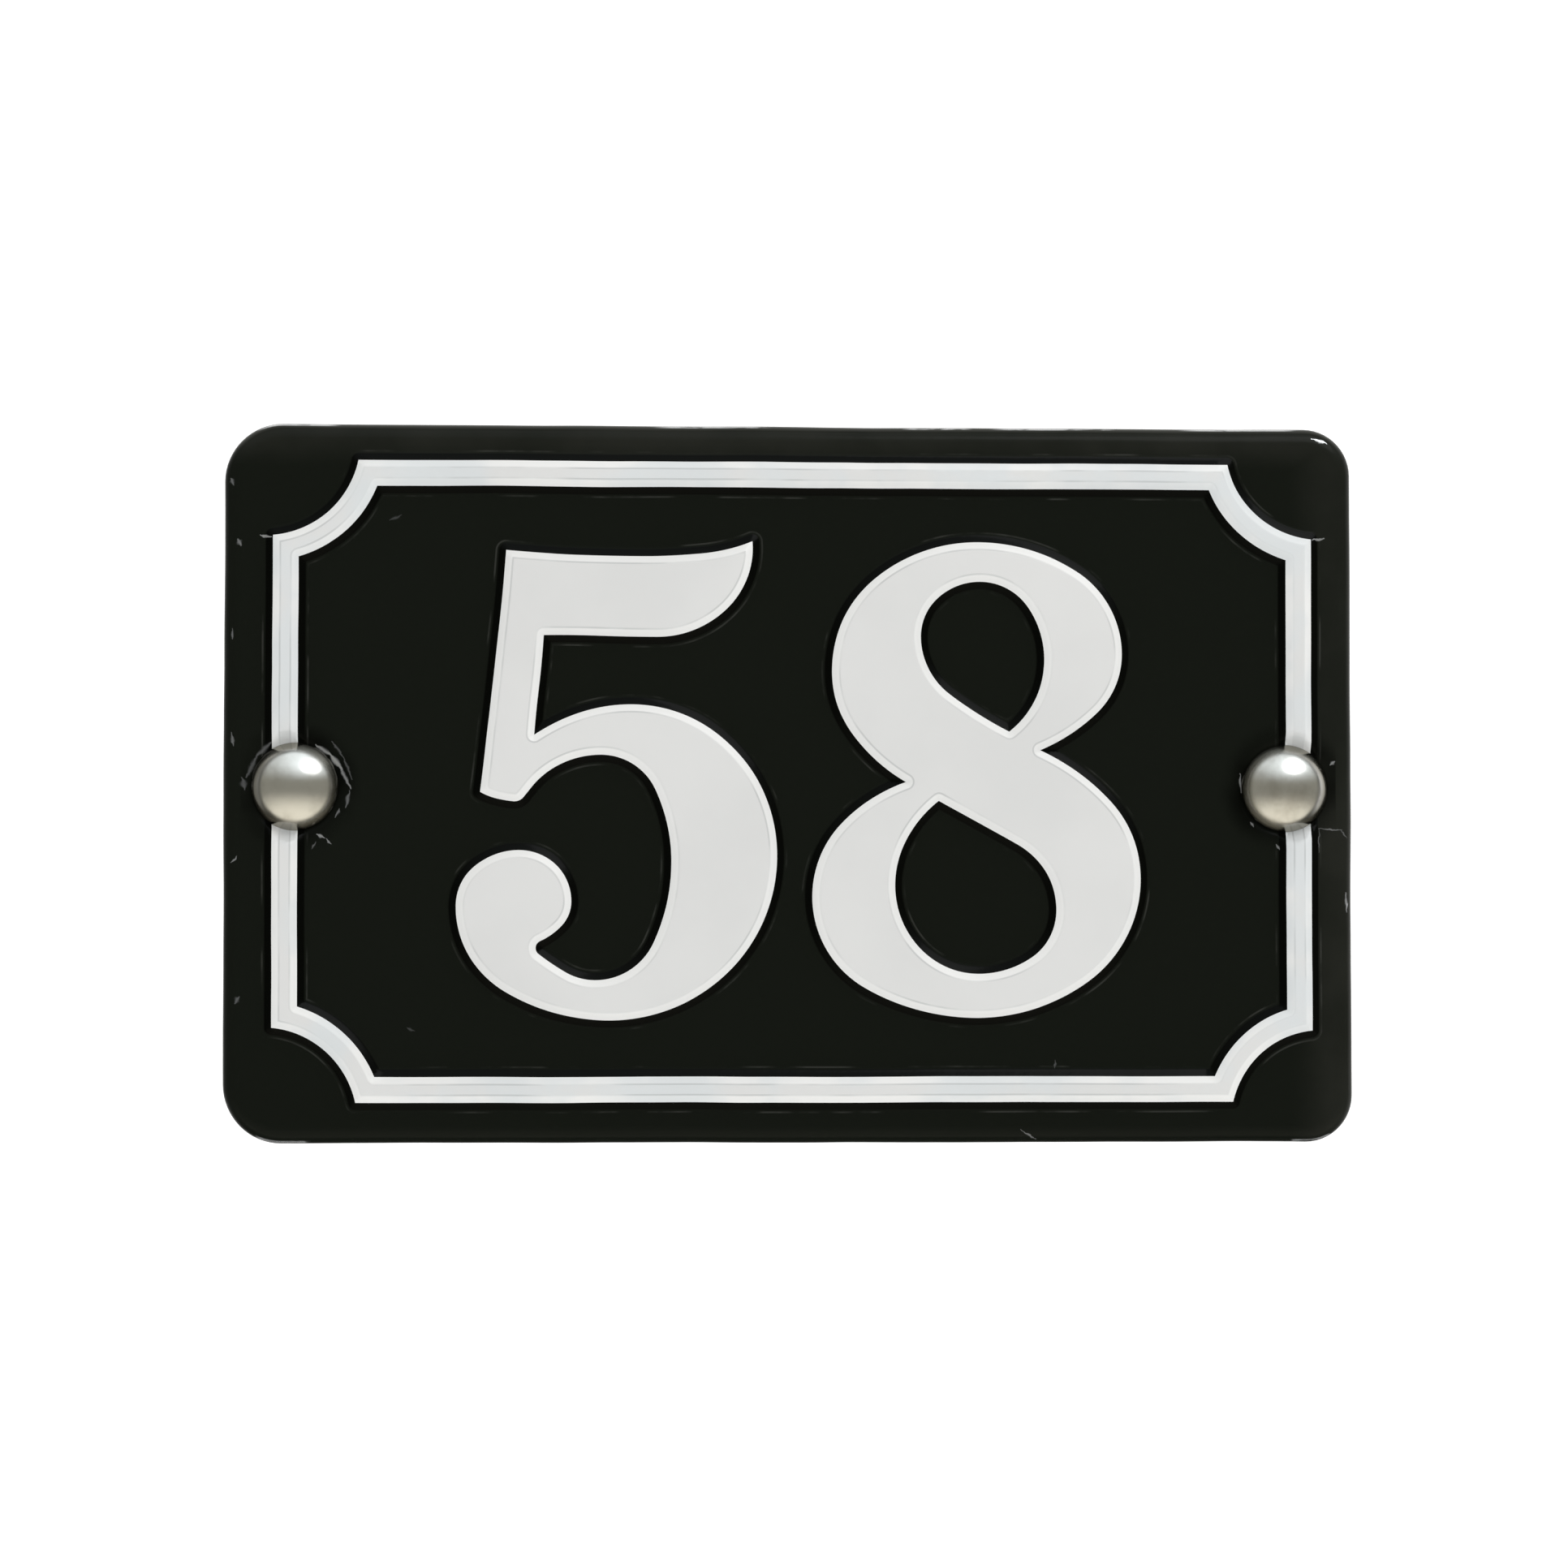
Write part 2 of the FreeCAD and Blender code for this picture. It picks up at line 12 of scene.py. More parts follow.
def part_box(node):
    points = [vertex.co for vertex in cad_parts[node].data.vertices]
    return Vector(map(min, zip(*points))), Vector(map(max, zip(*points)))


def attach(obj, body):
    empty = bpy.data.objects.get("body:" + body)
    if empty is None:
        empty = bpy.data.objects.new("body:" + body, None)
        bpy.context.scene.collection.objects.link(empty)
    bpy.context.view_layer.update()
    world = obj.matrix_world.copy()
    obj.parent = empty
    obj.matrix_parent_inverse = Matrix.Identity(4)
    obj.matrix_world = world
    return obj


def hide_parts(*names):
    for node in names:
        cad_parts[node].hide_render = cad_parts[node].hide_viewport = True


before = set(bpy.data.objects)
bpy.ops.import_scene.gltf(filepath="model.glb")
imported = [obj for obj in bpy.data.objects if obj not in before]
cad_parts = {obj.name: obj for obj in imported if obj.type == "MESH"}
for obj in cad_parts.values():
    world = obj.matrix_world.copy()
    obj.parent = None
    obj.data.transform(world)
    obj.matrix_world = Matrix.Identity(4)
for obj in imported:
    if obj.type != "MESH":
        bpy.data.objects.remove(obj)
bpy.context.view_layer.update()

bl_info = {
    "name": "House number plaque",
    "version": (1, 0, 0),
    "blender": (4, 5, 0),
    "location": "3D View > Sidebar > Plaque",
    "description": "Pressed number plate in black and white lacquer, with its screws, caps and studio",
    "category": "Object",
}

MM = 0.001
BODY = "root"
SIDES = ("left", "right")

# Places that the frame gives, in metres: +X to the right, +Z up, the front faces -Y
PLATE_LOW, PLATE_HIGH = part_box("plate")
CAP_LOW, CAP_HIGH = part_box("right_cap")
SCREW_LOW, SCREW_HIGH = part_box("right_screw")
SCREW_X = (CAP_LOW.x + CAP_HIGH.x) / 2
CAP_RADIUS = (CAP_HIGH.x - CAP_LOW.x) / 2
PLATE_MIDDLE = complex(PLATE_LOW.x + PLATE_HIGH.x, PLATE_LOW.z + PLATE_HIGH.z) / 2

# The numerals are drawn on a grid of 1000 units to their height. A point has
# x, z and the directions in degrees in which the outline arrives and leaves;
# None leaves a direction free, and two frees make a straight side.
GRID_UNITS = 1000

FIVE = [
    (122, 999, 86, None),
    (422, 987, 0, 0),
    (649, 1025, 23, -85),
    (444, 793, 180, 180),
    (227, 796, 181, -94),
    (211, 637, -95, 33),
    (389, 685, 0, 0),
    (701, 364, -90, -90),
    (348, 15, 180, 180),
    (21, 260, 90, 90),
    (163, 389, 0, 0),
    (284, 270, -90, -90),
    (220, 174, 205, -38),
    (316, 126, 0, 0),
    (458, 354, 90, 90),
    (330, 553, 180, 180),
    (199, 492, -128, -128),
    (150, 458, 175, 175),
    (68, 484, None, 83),
]

# Number of the 5's point where the ball meets the tail
BALL_CROTCH = 12

EIGHT = [
    (374, 1019, 0, 0),
    (684, 776, -90, -90),
    (539, 579, -157, -24),
    (721, 318, -90, -90),
    (371, 19, 180, 180),
    (21, 282, 90, 90),
    (192, 517, 19, 150),
    (61, 741, 90, 90),
]

EIGHT_UPPER_EYE = [
    (380, 908, 0, 0),
    (496, 767, -90, -90),
    (437, 634, -142, 153),
    (272, 810, 90, 90),
]

EIGHT_LOWER_EYE = [
    (296, 458, 38, -29),
    (519, 253, -90, -90),
    (376, 138, 180, 180),
    (220, 303, 90, 90),
]

# How much larger than their common size the border's four scoops are, in
# millimetres, by corner
SCOOP_EXTRA = {(1, 1): 0.4, (-1, 1): 0.5, (-1, -1): 0.35, (1, -1): -0.1}

# Marks in the lacquer, in millimetres: the two ends of a stroke, its half width
# in the middle and how far it shows bare metal
MARKS = [
    # beside the left cap
    ((-64.8, -6.5), (-63.8, -7.0), 0.30, 0.60),
    ((-63.6, -7.1), (-62.9, -7.8), 0.24, 0.45),
    ((-65.0, 5.7), (-62.8, 4.2), 0.44, 0.50),
    ((-63.2, 4.6), (-61.4, 2.3), 0.50, 0.70),
    ((-61.8, 2.9), (-60.2, -0.3), 0.34, 0.40),
    ((-60.4, -0.6), (-60.9, -2.8), 0.40, 0.18),
    ((-62.8, 6.2), (-61.2, 4.0), 0.30, 0.10),
    ((-61.2, 4.1), (-60.1, 1.0), 0.30, 0.10),
    ((-61.7, -3.0), (-62.3, -4.2), 0.24, 0.24),
    ((-75.0, 1.2), (-74.6, -0.4), 0.60, 0.12),
    ((-65.6, -8.5), (-65.0, -7.6), 0.22, 0.14),
    ((-74.4, 1.2), (-72.9, 4.4), 0.50, 0.12),
    ((-73.1, 4.1), (-71.0, 6.0), 0.50, 0.14),
    # beside the right cap
    ((74.2, 3.3), (74.7, 3.7), 0.36, 0.50),
    ((61.7, 2.0), (61.8, -0.6), 0.22, 0.45),
    ((63.1, -4.6), (63.5, -5.3), 0.26, 0.36),
    ((66.6, -7.6), (67.0, -8.4), 0.24, 0.34),
    ((72.5, -8.8), (72.6, -5.6), 0.14, 0.16),
    ((72.5, -5.5), (75.8, -5.7), 0.16, 0.26),
    ((75.6, -5.7), (76.5, -6.8), 0.16, 0.16),
    # on the left and right of the rim
    ((-75.7, 33.8), (-75.3, 32.9), 0.50, 0.26),
    ((-76.7, 42.1), (-76.3, 41.2), 0.40, 0.20),
    ((-76.4, 21.5), (-76.4, 20.1), 0.24, 0.24),
    ((-76.5, 7.3), (-76.2, 5.6), 0.32, 0.22),
    ((-76.6, -10.4), (-75.6, -9.6), 0.18, 0.45),
    ((-75.9, -29.4), (-75.3, -28.6), 0.50, 0.14),
    ((76.3, -14.2), (76.5, -17.0), 0.24, 0.60),
    ((71.8, 48.3), (74.0, 47.7), 0.32, 0.90),
    ((31.3, -46.8), (33.5, -48.1), 0.18, 0.26),
    # spurs at the points of the border
    ((-72.7, 34.3), (-71.1, 34.0), 0.26, 0.80),
    ((71.7, 34.3), (73.5, 34.5), 0.22, 0.75),
    # faint rubs on the field
    ((-55.1, 36.4), (-53.5, 37.1), 0.30, 0.06),
    ((35.9, -38.4), (36.1, -37.3), 0.20, 0.10),
    ((-52.5, -32.8), (-51.5, -33.2), 0.30, 0.06),
]

# Stretches of the rim worn to the metal, which also stand in for the highlight along the rim's bend, in
# millimetres: middle and reach
WORN_STRETCHES = [
    ((-67.5, 49.6), 6.0),
    ((-11.0, 49.7), 8.5),
    ((20.0, 49.5), 5.0),
    ((36.0, 49.4), 9.0),
    ((62.0, 49.4), 9.0),
    ((-69.3, -48.2), 4.0),
    ((71.5, -48.4), 3.0),
]


def length(name, description, millimetres):
    """Property for a length, which is given here in millimetres and kept in metres."""
    return FloatProperty(
        name=name, description=description, default=millimetres * MM, unit="LENGTH", precision=5
    )


def angle(name, description, degrees):
    """Property for an angle, which is given here in degrees and kept in radians."""
    return FloatProperty(
        name=name, description=description, default=math.radians(degrees), subtype="ANGLE"
    )


def tint(name, description, default):
    return FloatVectorProperty(
        name=name, description=description, default=default, size=3, min=0, max=1, subtype="COLOR"
    )


class PlaquePlateSizes(bpy.types.PropertyGroup):
    """Sizes of the pressed sheet"""

    left_corner_round: length("Left corners", "Round of the two left corners", 8.0)
    right_corner_round: length("Right corners", "Round of the two right corners", 6.4)
    rim_depth: length("Rim depth", "Distance from the wall to the face of the field", 4.0)
    rim_round: length("Rim round", "Outer round of the rolled-back rim", 2.4)
    gauge: length("Sheet gauge", "Thickness of the sheet", 1.0)
    rise: length("Relief rise", "Height of the border and numerals above the field", 1.3)
    flank_run: length("Flank run", "Width over which a flank rises", 2.0)
    foot_ease: length("Foot ease", "How soft the bend at the foot of a flank is", 0.35)
    shoulder_ease: length("Shoulder ease", "How soft the bend at the top of a flank is", 0.25)
    border_width: length("Border width", "Width of the border at the foot of its flanks", 144.4)
    border_height: length("Border height", "Height of the border at the foot of its flanks", 89.6)
    border_x: length("Border place across", "Middle of the border from the middle of the screws", 0.25)
    border_z: length("Border place up", "Middle of the border from the line of the screws", 0.8)
    band_width: length("Band width", "Width of the border's band at its foot", 5.5)
    scoop_round: length("Scoop round", "Round of the border's scooped corners at the foot", 11.6)
    scoop_beyond_x: length("Scoop beyond side", "How far a scoop's centre lies beyond the side", 0.2)
    scoop_beyond_z: length("Scoop beyond top", "How far a scoop's centre lies beyond the top", 1.7)
    crotch_round: length("Crotch round", "Round of the notch between the 5's ball and its tail", 1.05)
    crotch_depth: length("Crotch depth", "How much deeper than its round corner that notch is cut", 0.6)
    numeral_height: length("Numeral height", "Height of the numerals' grid", 67.3)
    numeral_base: length("Numeral base", "Base of the numerals from the line of the screws", -33.8)
    five_left: length("Five's left", "Left edge of the 5's grid", -48.35)
    eight_left: length("Eight's left", "Left edge of the 8's grid", 0.25)
    seat_radius: length("Seat radius", "Flat seat that is crushed under a cap", 6.2)
    seat_depth: length("Seat depth", "How far a seat lies below the field", 0.3)
    hole_radius: length("Hole radius", "Countersunk hole at the front of a seat", 4.15)
    seat_ease: length("Seat ease", "How soft the dimple's edge round a cap is", 0.3)
    dish_depth: length("Dish depth", "How far the sheet is drawn in round a seat", 0.2)
    dish_width: length("Dish width", "Width over which the sheet is drawn in", 1.8)
    waviness: length("Waviness", "How far the sheet waves in and out", 0.16)
    wander: length("Wander", "How far the pressed lines stray sideways", 0.35)
    crumple: length("Crumple", "How far the sheet is crumpled round a seat", 0.14)
    edge_step: length("Point spacing", "Distance between points along a curved flank", 0.5)
    wave_seed: IntProperty(name="Wave seed", description="Which pattern the waves follow", default=5)


class PlaqueFixingSizes(bpy.types.PropertyGroup):
    """Sizes of the screws and their caps"""

    head_radius: length("Head radius", "Radius of the countersunk head", 4.0)
    shank_radius: length("Shank radius", "Radius of the plain shank and of the thread", 2.1)
    core_radius: length("Core radius", "Radius at the root of the wood thread", 1.45)
    thread_pitch: length("Thread pitch", "Distance from one turn to the next", 1.8)
    thread_start: length("Thread start", "Distance behind the wall where the thread begins", 6.0)
    point_length: length("Point length", "Length of the screw's cone", 5.0)
    slot_width: length("Slot width", "Width of the driver's slot", 1.1)
    slot_depth: length("Slot depth", "Depth of the driver's slot", 0.9)
    tapped_radius: length("Tapped radius", "Radius of the threaded hole in the head", 1.6)
    tapped_depth: length("Tapped depth", "Depth of the threaded hole in the head", 6.5)
    cap_height: length("Cap height", "Height of a cap above its seat", 3.7)
    cap_edge: length("Cap edge", "Height of the straight edge below the dome", 0.3)
    stud_radius: length("Stud radius", "Radius of the threaded stud behind a cap", 1.5)
    stud_pitch: length("Stud pitch", "Distance from one turn of the stud's thread to the next", 0.5)
    stud_chamfer: length("Stud chamfer", "Chamfer at the end of the stud", 0.4)


class PlaqueFinishes(bpy.types.PropertyGroup):
    """Colours of the finishes"""

    black: tint("Black lacquer", "Colour of the field and rim", (0.0070, 0.0084, 0.0060))
    # Lighter black for the top and right margins, a painted sheen where the light falls on them
    margin_sheen: tint("Black margin sheen", "Colour of the black where it has gone dull", (0.0180, 0.0188, 0.0150))
    white: tint("White lacquer", "Colour of the border's and numerals' tops", (0.77, 0.77, 0.755))
    # Lighter white for the flanks: a painted highlight, as the tilted flanks catch more light than the tops
    white_edge: tint("White flanks", "Colour of the clean lacquer on the flanks", (0.90, 0.90, 0.88))
    # Bluish streaks on the border: a painted reflection of cold light
    border_sheen_blue: tint("Cold streaks", "Colour of the bluish streaks on the border", (0.74, 0.785, 0.80))
    aluminium: tint("Bare aluminium", "Colour of the sheet where it is bare", (0.72, 0.73, 0.74))
    zinc: tint("Zinc plate", "Colour of the screws", (0.62, 0.63, 0.65))
    cap: tint("Polished cap", "Colour of the caps", (0.80, 0.79, 0.77))


class PlaqueStudio(bpy.types.PropertyGroup):
    """Camera and light"""

    distance: length("Camera distance", "Distance from the camera to the plate", 700.0)
    aim_x: length("Aim across", "Where the camera looks, from the middle of the screws", -1.22)
    aim_z: length("Aim up", "Where the camera looks, from the line of the screws", 0.44)
    azimuth: angle("Azimuth", "Turn of the camera round the plate", -3.14)
    elevation: angle("Elevation", "Height of the camera above the plate's level", -2.24)
    view_width: length("View width", "Width of the picture at the plate", 214.15)
    floor_drop: length("Floor drop", "Distance from the line of the screws down to the floor", 760.0)


# Outlines in the plane of the plate: a place is x + z j in metres and a
# direction is a complex number of length 1

def heading(degrees):
    return None if degrees is None else cmath.rect(1, math.radians(degrees))


def dot(first, second):
    return (first * second.conjugate()).real


def mirrored(direction, chord):
    """Direction at the other end of an arc, from the direction at one end."""
    along = chord / abs(chord)
    return along * along * direction.conjugate()


def arcs_between(start, leaving, end, arriving):
    """One arc or straight, or a pair of arcs that meet tangentially."""
    chord = end - start
    if leaving is None and arriving is None:
        leaving = chord / abs(chord)
    if leaving is None:
        leaving = mirrored(arriving, chord)
    if arriving is None:
        arriving = mirrored(leaving, chord)
    if abs(mirrored(leaving, chord) - arriving) < 1e-5:
        return [(start, leaving, end)]
    # Both arcs have tangents of one length to the point where they meet
    square = 2 * (1 - dot(leaving, arriving))
    along = 2 * dot(chord, leaving + arriving)
    if square < 1e-12:
        reach = abs(chord) ** 2 / along
    else:
        reach = (math.sqrt(along * along + 4 * square * abs(chord) ** 2) - along) / (2 * square)
    meeting = (start + leaving * reach + end - arriving * reach) / 2
    return [(start, leaving, meeting), (meeting, mirrored(arriving, end - meeting), end)]


def settled(nodes):
    """Nodes of an outline with every free direction worked out."""
    arrivals = [None] * len(nodes)
    leavings = [None] * len(nodes)
    for number, (start, _, leaving) in enumerate(nodes):
        following = (number + 1) % len(nodes)
        end, arriving, _ = nodes[following]
        arcs = arcs_between(start, leaving, end, arriving)
        last_start, last_direction, last_end = arcs[-1]
        leavings[number] = arcs[0][1]
        arrivals[following] = mirrored(last_direction, last_end - last_start)
    return [(node[0], arrival, leaving) for node, arrival, leaving in zip(nodes, arrivals, leavings)]


def mitred(before, after):
    """Step to the left of travel that moves both sides of a corner by one unit."""
    return 1j * (before + after) / (1 + dot(before, after))


def moved_left(nodes, distance):
    """Outline with every side moved to the left of travel."""
    return [
        (place + mitred(arriving, leaving) * distance, arriving, leaving)
        for place, arriving, leaving in settled(nodes)
    ]


def with_round(nodes, number, corner_round, deeper):
    """Outline with one of its corners set deeper and rounded."""
    place, arriving, leaving = settled(nodes)[number]
    place += deeper * (arriving - leaving) / abs(arriving - leaving)
    reach = corner_round * math.tan(abs(cmath.phase(leaving / arriving)) / 2)
    ends = [(place - arriving * reach, arriving, arriving), (place + leaving * reach, leaving, leaving)]
    return nodes[:number] + ends + nodes[number + 1:]


def walked(nodes, curve_step, straight_step, largest_turn=math.radians(9)):
    """Points round an outline, each with its directions before and after."""
    points = []
    arrivals = []
    for (start, _, leaving), (end, arriving, _) in zip(nodes, nodes[1:] + nodes[:1]):
        for first, direction, last in arcs_between(start, leaving, end, arriving):
            chord = last - first
            turn = 2 * cmath.phase(chord / direction)
            if abs(turn) < 1e-4:
                count = max(1, math.ceil(abs(chord) / straight_step))
                shares = [step / count for step in range(count)]
                places = [first + chord * part for part in shares]
                directions = [chord / abs(chord)] * (count + 1)
            else:
                centre = first + chord / (1 - cmath.exp(1j * turn))
                run = abs(turn) * abs(first - centre)
                count = max(1, math.ceil(run / curve_step), math.ceil(abs(turn) / largest_turn))
                turns = [cmath.exp(1j * turn * step / count) for step in range(count + 1)]
                places = [centre + (first - centre) * part for part in turns[:-1]]
                directions = [direction * part for part in turns]
            points += list(zip(places, directions))
            arrivals += directions[1:]
    befores = arrivals[-1:] + arrivals[:-1]
    return [(place, before, after) for (place, after), before in zip(points, befores)]


def beside(outline, distance):
    """Points to the left of travel, in fans where a corner opens on that side."""
    places = []
    for place, before, after in outline:
        turn = cmath.phase(after / before)
        if turn * distance < -1e-3:
            count = max(2, math.ceil(abs(turn * distance) / (0.3 * MM)))
            for step in range(count + 1):
                places.append(place + 1j * before * cmath.exp(1j * turn * step / count) * distance)
        else:
            places.append(place + mitred(before, after) * distance)
    return places


def numeral(points, left, base, height):
    unit = height / GRID_UNITS
    corner = complex(left, base)
    return [
        (corner + complex(across, up) * unit, heading(arriving), heading(leaving))
        for across, up, arriving, leaving in points
    ]


def scooped(middle, half_width, half_height, centre, scoop):
    """Rectangle with its corners scooped inwards about centres beyond them, anticlockwise."""
    corners = []
    for (across, up), extra in SCOOP_EXTRA.items():
        reach = scoop + extra * MM
        low = complex(half_width, centre.imag - math.sqrt(reach ** 2 - (centre.real - half_width) ** 2))
        high = complex(centre.real - math.sqrt(reach ** 2 - (centre.imag - half_height) ** 2), half_height)
        first = [
            (low, 1j, -1j * (low - centre) / reach),
            (high, -1j * (high - centre) / reach, -1),
        ]
        # A corner mirrored across a line is drawn the other way round
        placed = []
        for numbers in first:
            turned = [complex(across * item.real, up * item.imag) for item in map(complex, numbers)]
            placed.append((middle + turned[0], *turned[1:]))
        if across != up:
            placed = [(place, -leaving, -arriving) for place, arriving, leaving in placed[::-1]]
        corners += placed
    return corners


def rounded_plate(sizes, inset=0.0):
    """Points round the plate's outline, moved inwards, with the inward direction at each."""
    half_width = (PLATE_HIGH.x - PLATE_LOW.x) / 2
    half_height = (PLATE_HIGH.z - PLATE_LOW.z) / 2
    nodes = []
    for quarter, (across, up) in enumerate(((1, 1), (-1, 1), (-1, -1), (1, -1))):
        corner_round = sizes.right_corner_round if across > 0 else sizes.left_corner_round
        centre = complex(across * (half_width - corner_round), up * (half_height - corner_round))
        for turned in (quarter, quarter + 1):
            outwards = 1j ** turned
            place = PLATE_MIDDLE + centre + outwards * corner_round
            nodes.append((place, 1j * outwards, 1j * outwards))
    outline = walked(nodes, 0.8 * MM, 2.0 * MM)
    return [(place + 1j * after * inset, 1j * after) for place, _, after in outline]


def circle(middle, radius, count):
    return [middle + cmath.rect(radius, math.tau * step / count) for step in range(count)]


def nearest_on(rings):
    """Finder of the distance from a place to the nearest of some closed rings."""
    corners = []
    strips = []
    for ring in rings:
        first = len(corners)
        for number, place in enumerate(ring):
            following = (number + 1) % len(ring)
            low = first + 2 * number
            after = first + 2 * following
            corners += [(place.real, -1.0, place.imag), (place.real, 1.0, place.imag)]
            strips.append((low, low + 1, after + 1, after))
    tree = BVHTree.FromPolygons(corners, strips)

    def distance(place):
        return tree.find_nearest(Vector((place.real, 0.0, place.imag)))[3]

    return distance


def anticlockwise(ring):
    area = sum((first.conjugate() * second).imag for first, second in zip(ring, ring[1:] + ring[:1]))
    return ring if area > 0 else ring[::-1]


# The blank: a flat sheet whose triangles follow the pressed lines

# How far up a flank the white begins
COLOUR_EDGE = 0.5

# Spacing of the blank's free points
HOLE_CLEARANCE = 0.15 * MM
EDGE_CLEARANCE = 0.4 * MM
LINE_CLEARANCE = 0.02 * MM
SPARSE_SPACING = 2.2 * MM
LINE_REACH = 1.5 * MM
SEAT_REACH = 8.8 * MM
SEAT_ROWS = (-1.0, -0.2, 0.0, 0.2, 0.6, 1.1, 1.6, 2.1)
FRONT_ROWS = (0.5, 0.8, 1.0, 1.2, 1.5)
BACK_ROWS = (0.6, 1.0, 1.4)
BACK_COARSENESS = 1.7


def pressed_lines(sizes, coarse):
    """Outlines where black meets white, halfway up the flanks, by name."""
    aside = sizes.flank_run * COLOUR_EDGE
    middle = complex(sizes.border_x, sizes.border_z)
    half_width = sizes.border_width / 2
    half_height = sizes.border_height / 2
    centre = complex(half_width + sizes.scoop_beyond_x, half_height + sizes.scoop_beyond_z)
    inner_width = half_width - sizes.band_width
    inner_height = half_height - sizes.band_width
    inner_scoop = sizes.scoop_round + sizes.band_width
    base = sizes.numeral_base
    height = sizes.numeral_height
    five = moved_left(numeral(FIVE, sizes.five_left, base, height), -aside)
    outlines = {
        "border": scooped(middle, half_width - aside, half_height - aside, centre, sizes.scoop_round + aside),
        "field": scooped(middle, inner_width + aside, inner_height + aside, centre, inner_scoop - aside),
        "five": with_round(five, BALL_CROTCH, sizes.crotch_round, sizes.crotch_depth),
        "eight": moved_left(numeral(EIGHT, sizes.eight_left, base, height), -aside),
        "upper_eye": moved_left(numeral(EIGHT_UPPER_EYE, sizes.eight_left, base, height), aside),
        "lower_eye": moved_left(numeral(EIGHT_LOWER_EYE, sizes.eight_left, base, height), aside),
    }
    step = sizes.edge_step * coarse
    return {name: walked(nodes, step, 3 * step) for name, nodes in outlines.items()}


def is_white(owners):
    if "five" in owners:
        return True
    if "eight" in owners:
        return not {"upper_eye", "lower_eye"} & owners
    return "border" in owners and "field" not in owners


class Blank:
    """Flat triangles of one skin, with what the press needs to know at each point."""

    def __init__(self, sizes, behind, coarse):
        bend = math.tan(math.atan2(sizes.rise, sizes.flank_run) / 2) * sizes.gauge
        self.behind = behind
        self.shift = bend if behind else 0.0
        seat_widening = math.tan(math.radians(22.5)) * sizes.gauge if behind else 0.0
        self.seat_radius = sizes.seat_radius + seat_widening
        hole = sizes.hole_radius - (sizes.gauge if behind else 0.0)
        self.screws = [complex(-SCREW_X, 0), complex(SCREW_X, 0)]
        self.level = -sizes.rim_depth + (sizes.gauge if behind else 0.0)
        self.outline = [place for place, _ in rounded_plate(sizes, sizes.rim_round)]
        lines = pressed_lines(sizes, coarse)
        rings = {"outline": self.outline}
        for number, screw in enumerate(self.screws):
            rings[f"hole_{number}"] = circle(screw, hole, 48)
        for name, line in lines.items():
            rings[name] = anticlockwise([place for place, _, _ in line])
        to_line = nearest_on([rings[name] for name in lines])
        to_edge = nearest_on([self.outline])
        free = self.beside_lines(lines, to_line)
        free += self.round_seats()
        free += self.scattered(to_line, to_edge, SPARSE_SPACING * coarse)
        self.triangulate(rings, [place for place in free if self.is_inside(place, to_edge, hole)])
        self.measure(to_line, to_edge)

    def is_inside(self, place, to_edge, hole):
        """Whether a free point lies on the sheet, clear of its rim and its holes."""
        from_middle = place - PLATE_MIDDLE
        if abs(from_middle.real) > self.outline_reach.real or abs(from_middle.imag) > self.outline_reach.imag:
            return False
        if min(abs(place - screw) for screw in self.screws) < hole + HOLE_CLEARANCE:
            return False
        return to_edge(place) > EDGE_CLEARANCE

    @property
    def outline_reach(self):
        return complex(
            max(abs(place.real - PLATE_MIDDLE.real) for place in self.outline),
            max(abs(place.imag - PLATE_MIDDLE.imag) for place in self.outline),
        )

    def beside_lines(self, lines, to_line):
        """Rows of points along both sides of every pressed line."""
        free = []
        for line in lines.values():
            for row in BACK_ROWS if self.behind else FRONT_ROWS:
                for distance in (row * MM, -row * MM):
                    for place in beside(line, distance):
                        if to_line(place) > abs(distance) - LINE_CLEARANCE:
                            free.append(place)
        return free

    def round_seats(self):
        """Rings of points along the dimple and the drawn-in sheet round each seat."""
        free = []
        for screw in self.screws:
            for row in SEAT_ROWS:
                free += circle(screw, self.seat_radius + row * MM, 72)
        return free

    def scattered(self, to_line, to_edge, spacing):
        """Points in staggered rows, away from lines and seats."""
        reach = self.outline_reach
        rows = math.ceil(reach.imag / (spacing * math.sin(math.pi / 3)))
        columns = math.ceil(reach.real / spacing)
        free = []
        for row in range(-rows, rows + 1):
            up = row * spacing * math.sin(math.pi / 3)
            for column in range(-columns, columns + 1):
                place = PLATE_MIDDLE + complex((column + row % 2 / 2) * spacing, up)
                if to_line(place) < LINE_REACH + spacing / 3 or to_edge(place) < spacing / 3:
                    continue
                if min(abs(place - screw) for screw in self.screws) > SEAT_REACH:
                    free.append(place)
        return free

    def triangulate(self, rings, free):
        places = []
        loops = []
        for ring in rings.values():
            loops.append(list(range(len(places), len(places) + len(ring))))
            places += ring
        places += free
        flat = [Vector((place.real, place.imag)) / MM for place in places]
        coords, _, triangles, origins, _, owners = delaunay_2d_cdt(flat, [], loops, 0, 1e-4, True)
        names = list(rings)
        self.triangles = []
        self.white = []
        used = {}
        for triangle, numbers in zip(triangles, owners):
            named = {names[number] for number in numbers}
            if "outline" not in named or {"hole_0", "hole_1"} & named:
                continue
            self.triangles.append([used.setdefault(corner, len(used)) for corner in triangle])
            self.white.append(is_white(named))
        self.places = [complex(*coords[corner]) * MM for corner in used]
        numbers = {}
        for corner, sources in enumerate(origins):
            for source in sources:
                numbers[source] = corner
        self.boundary = [used[numbers[number]] for number in loops[0]]

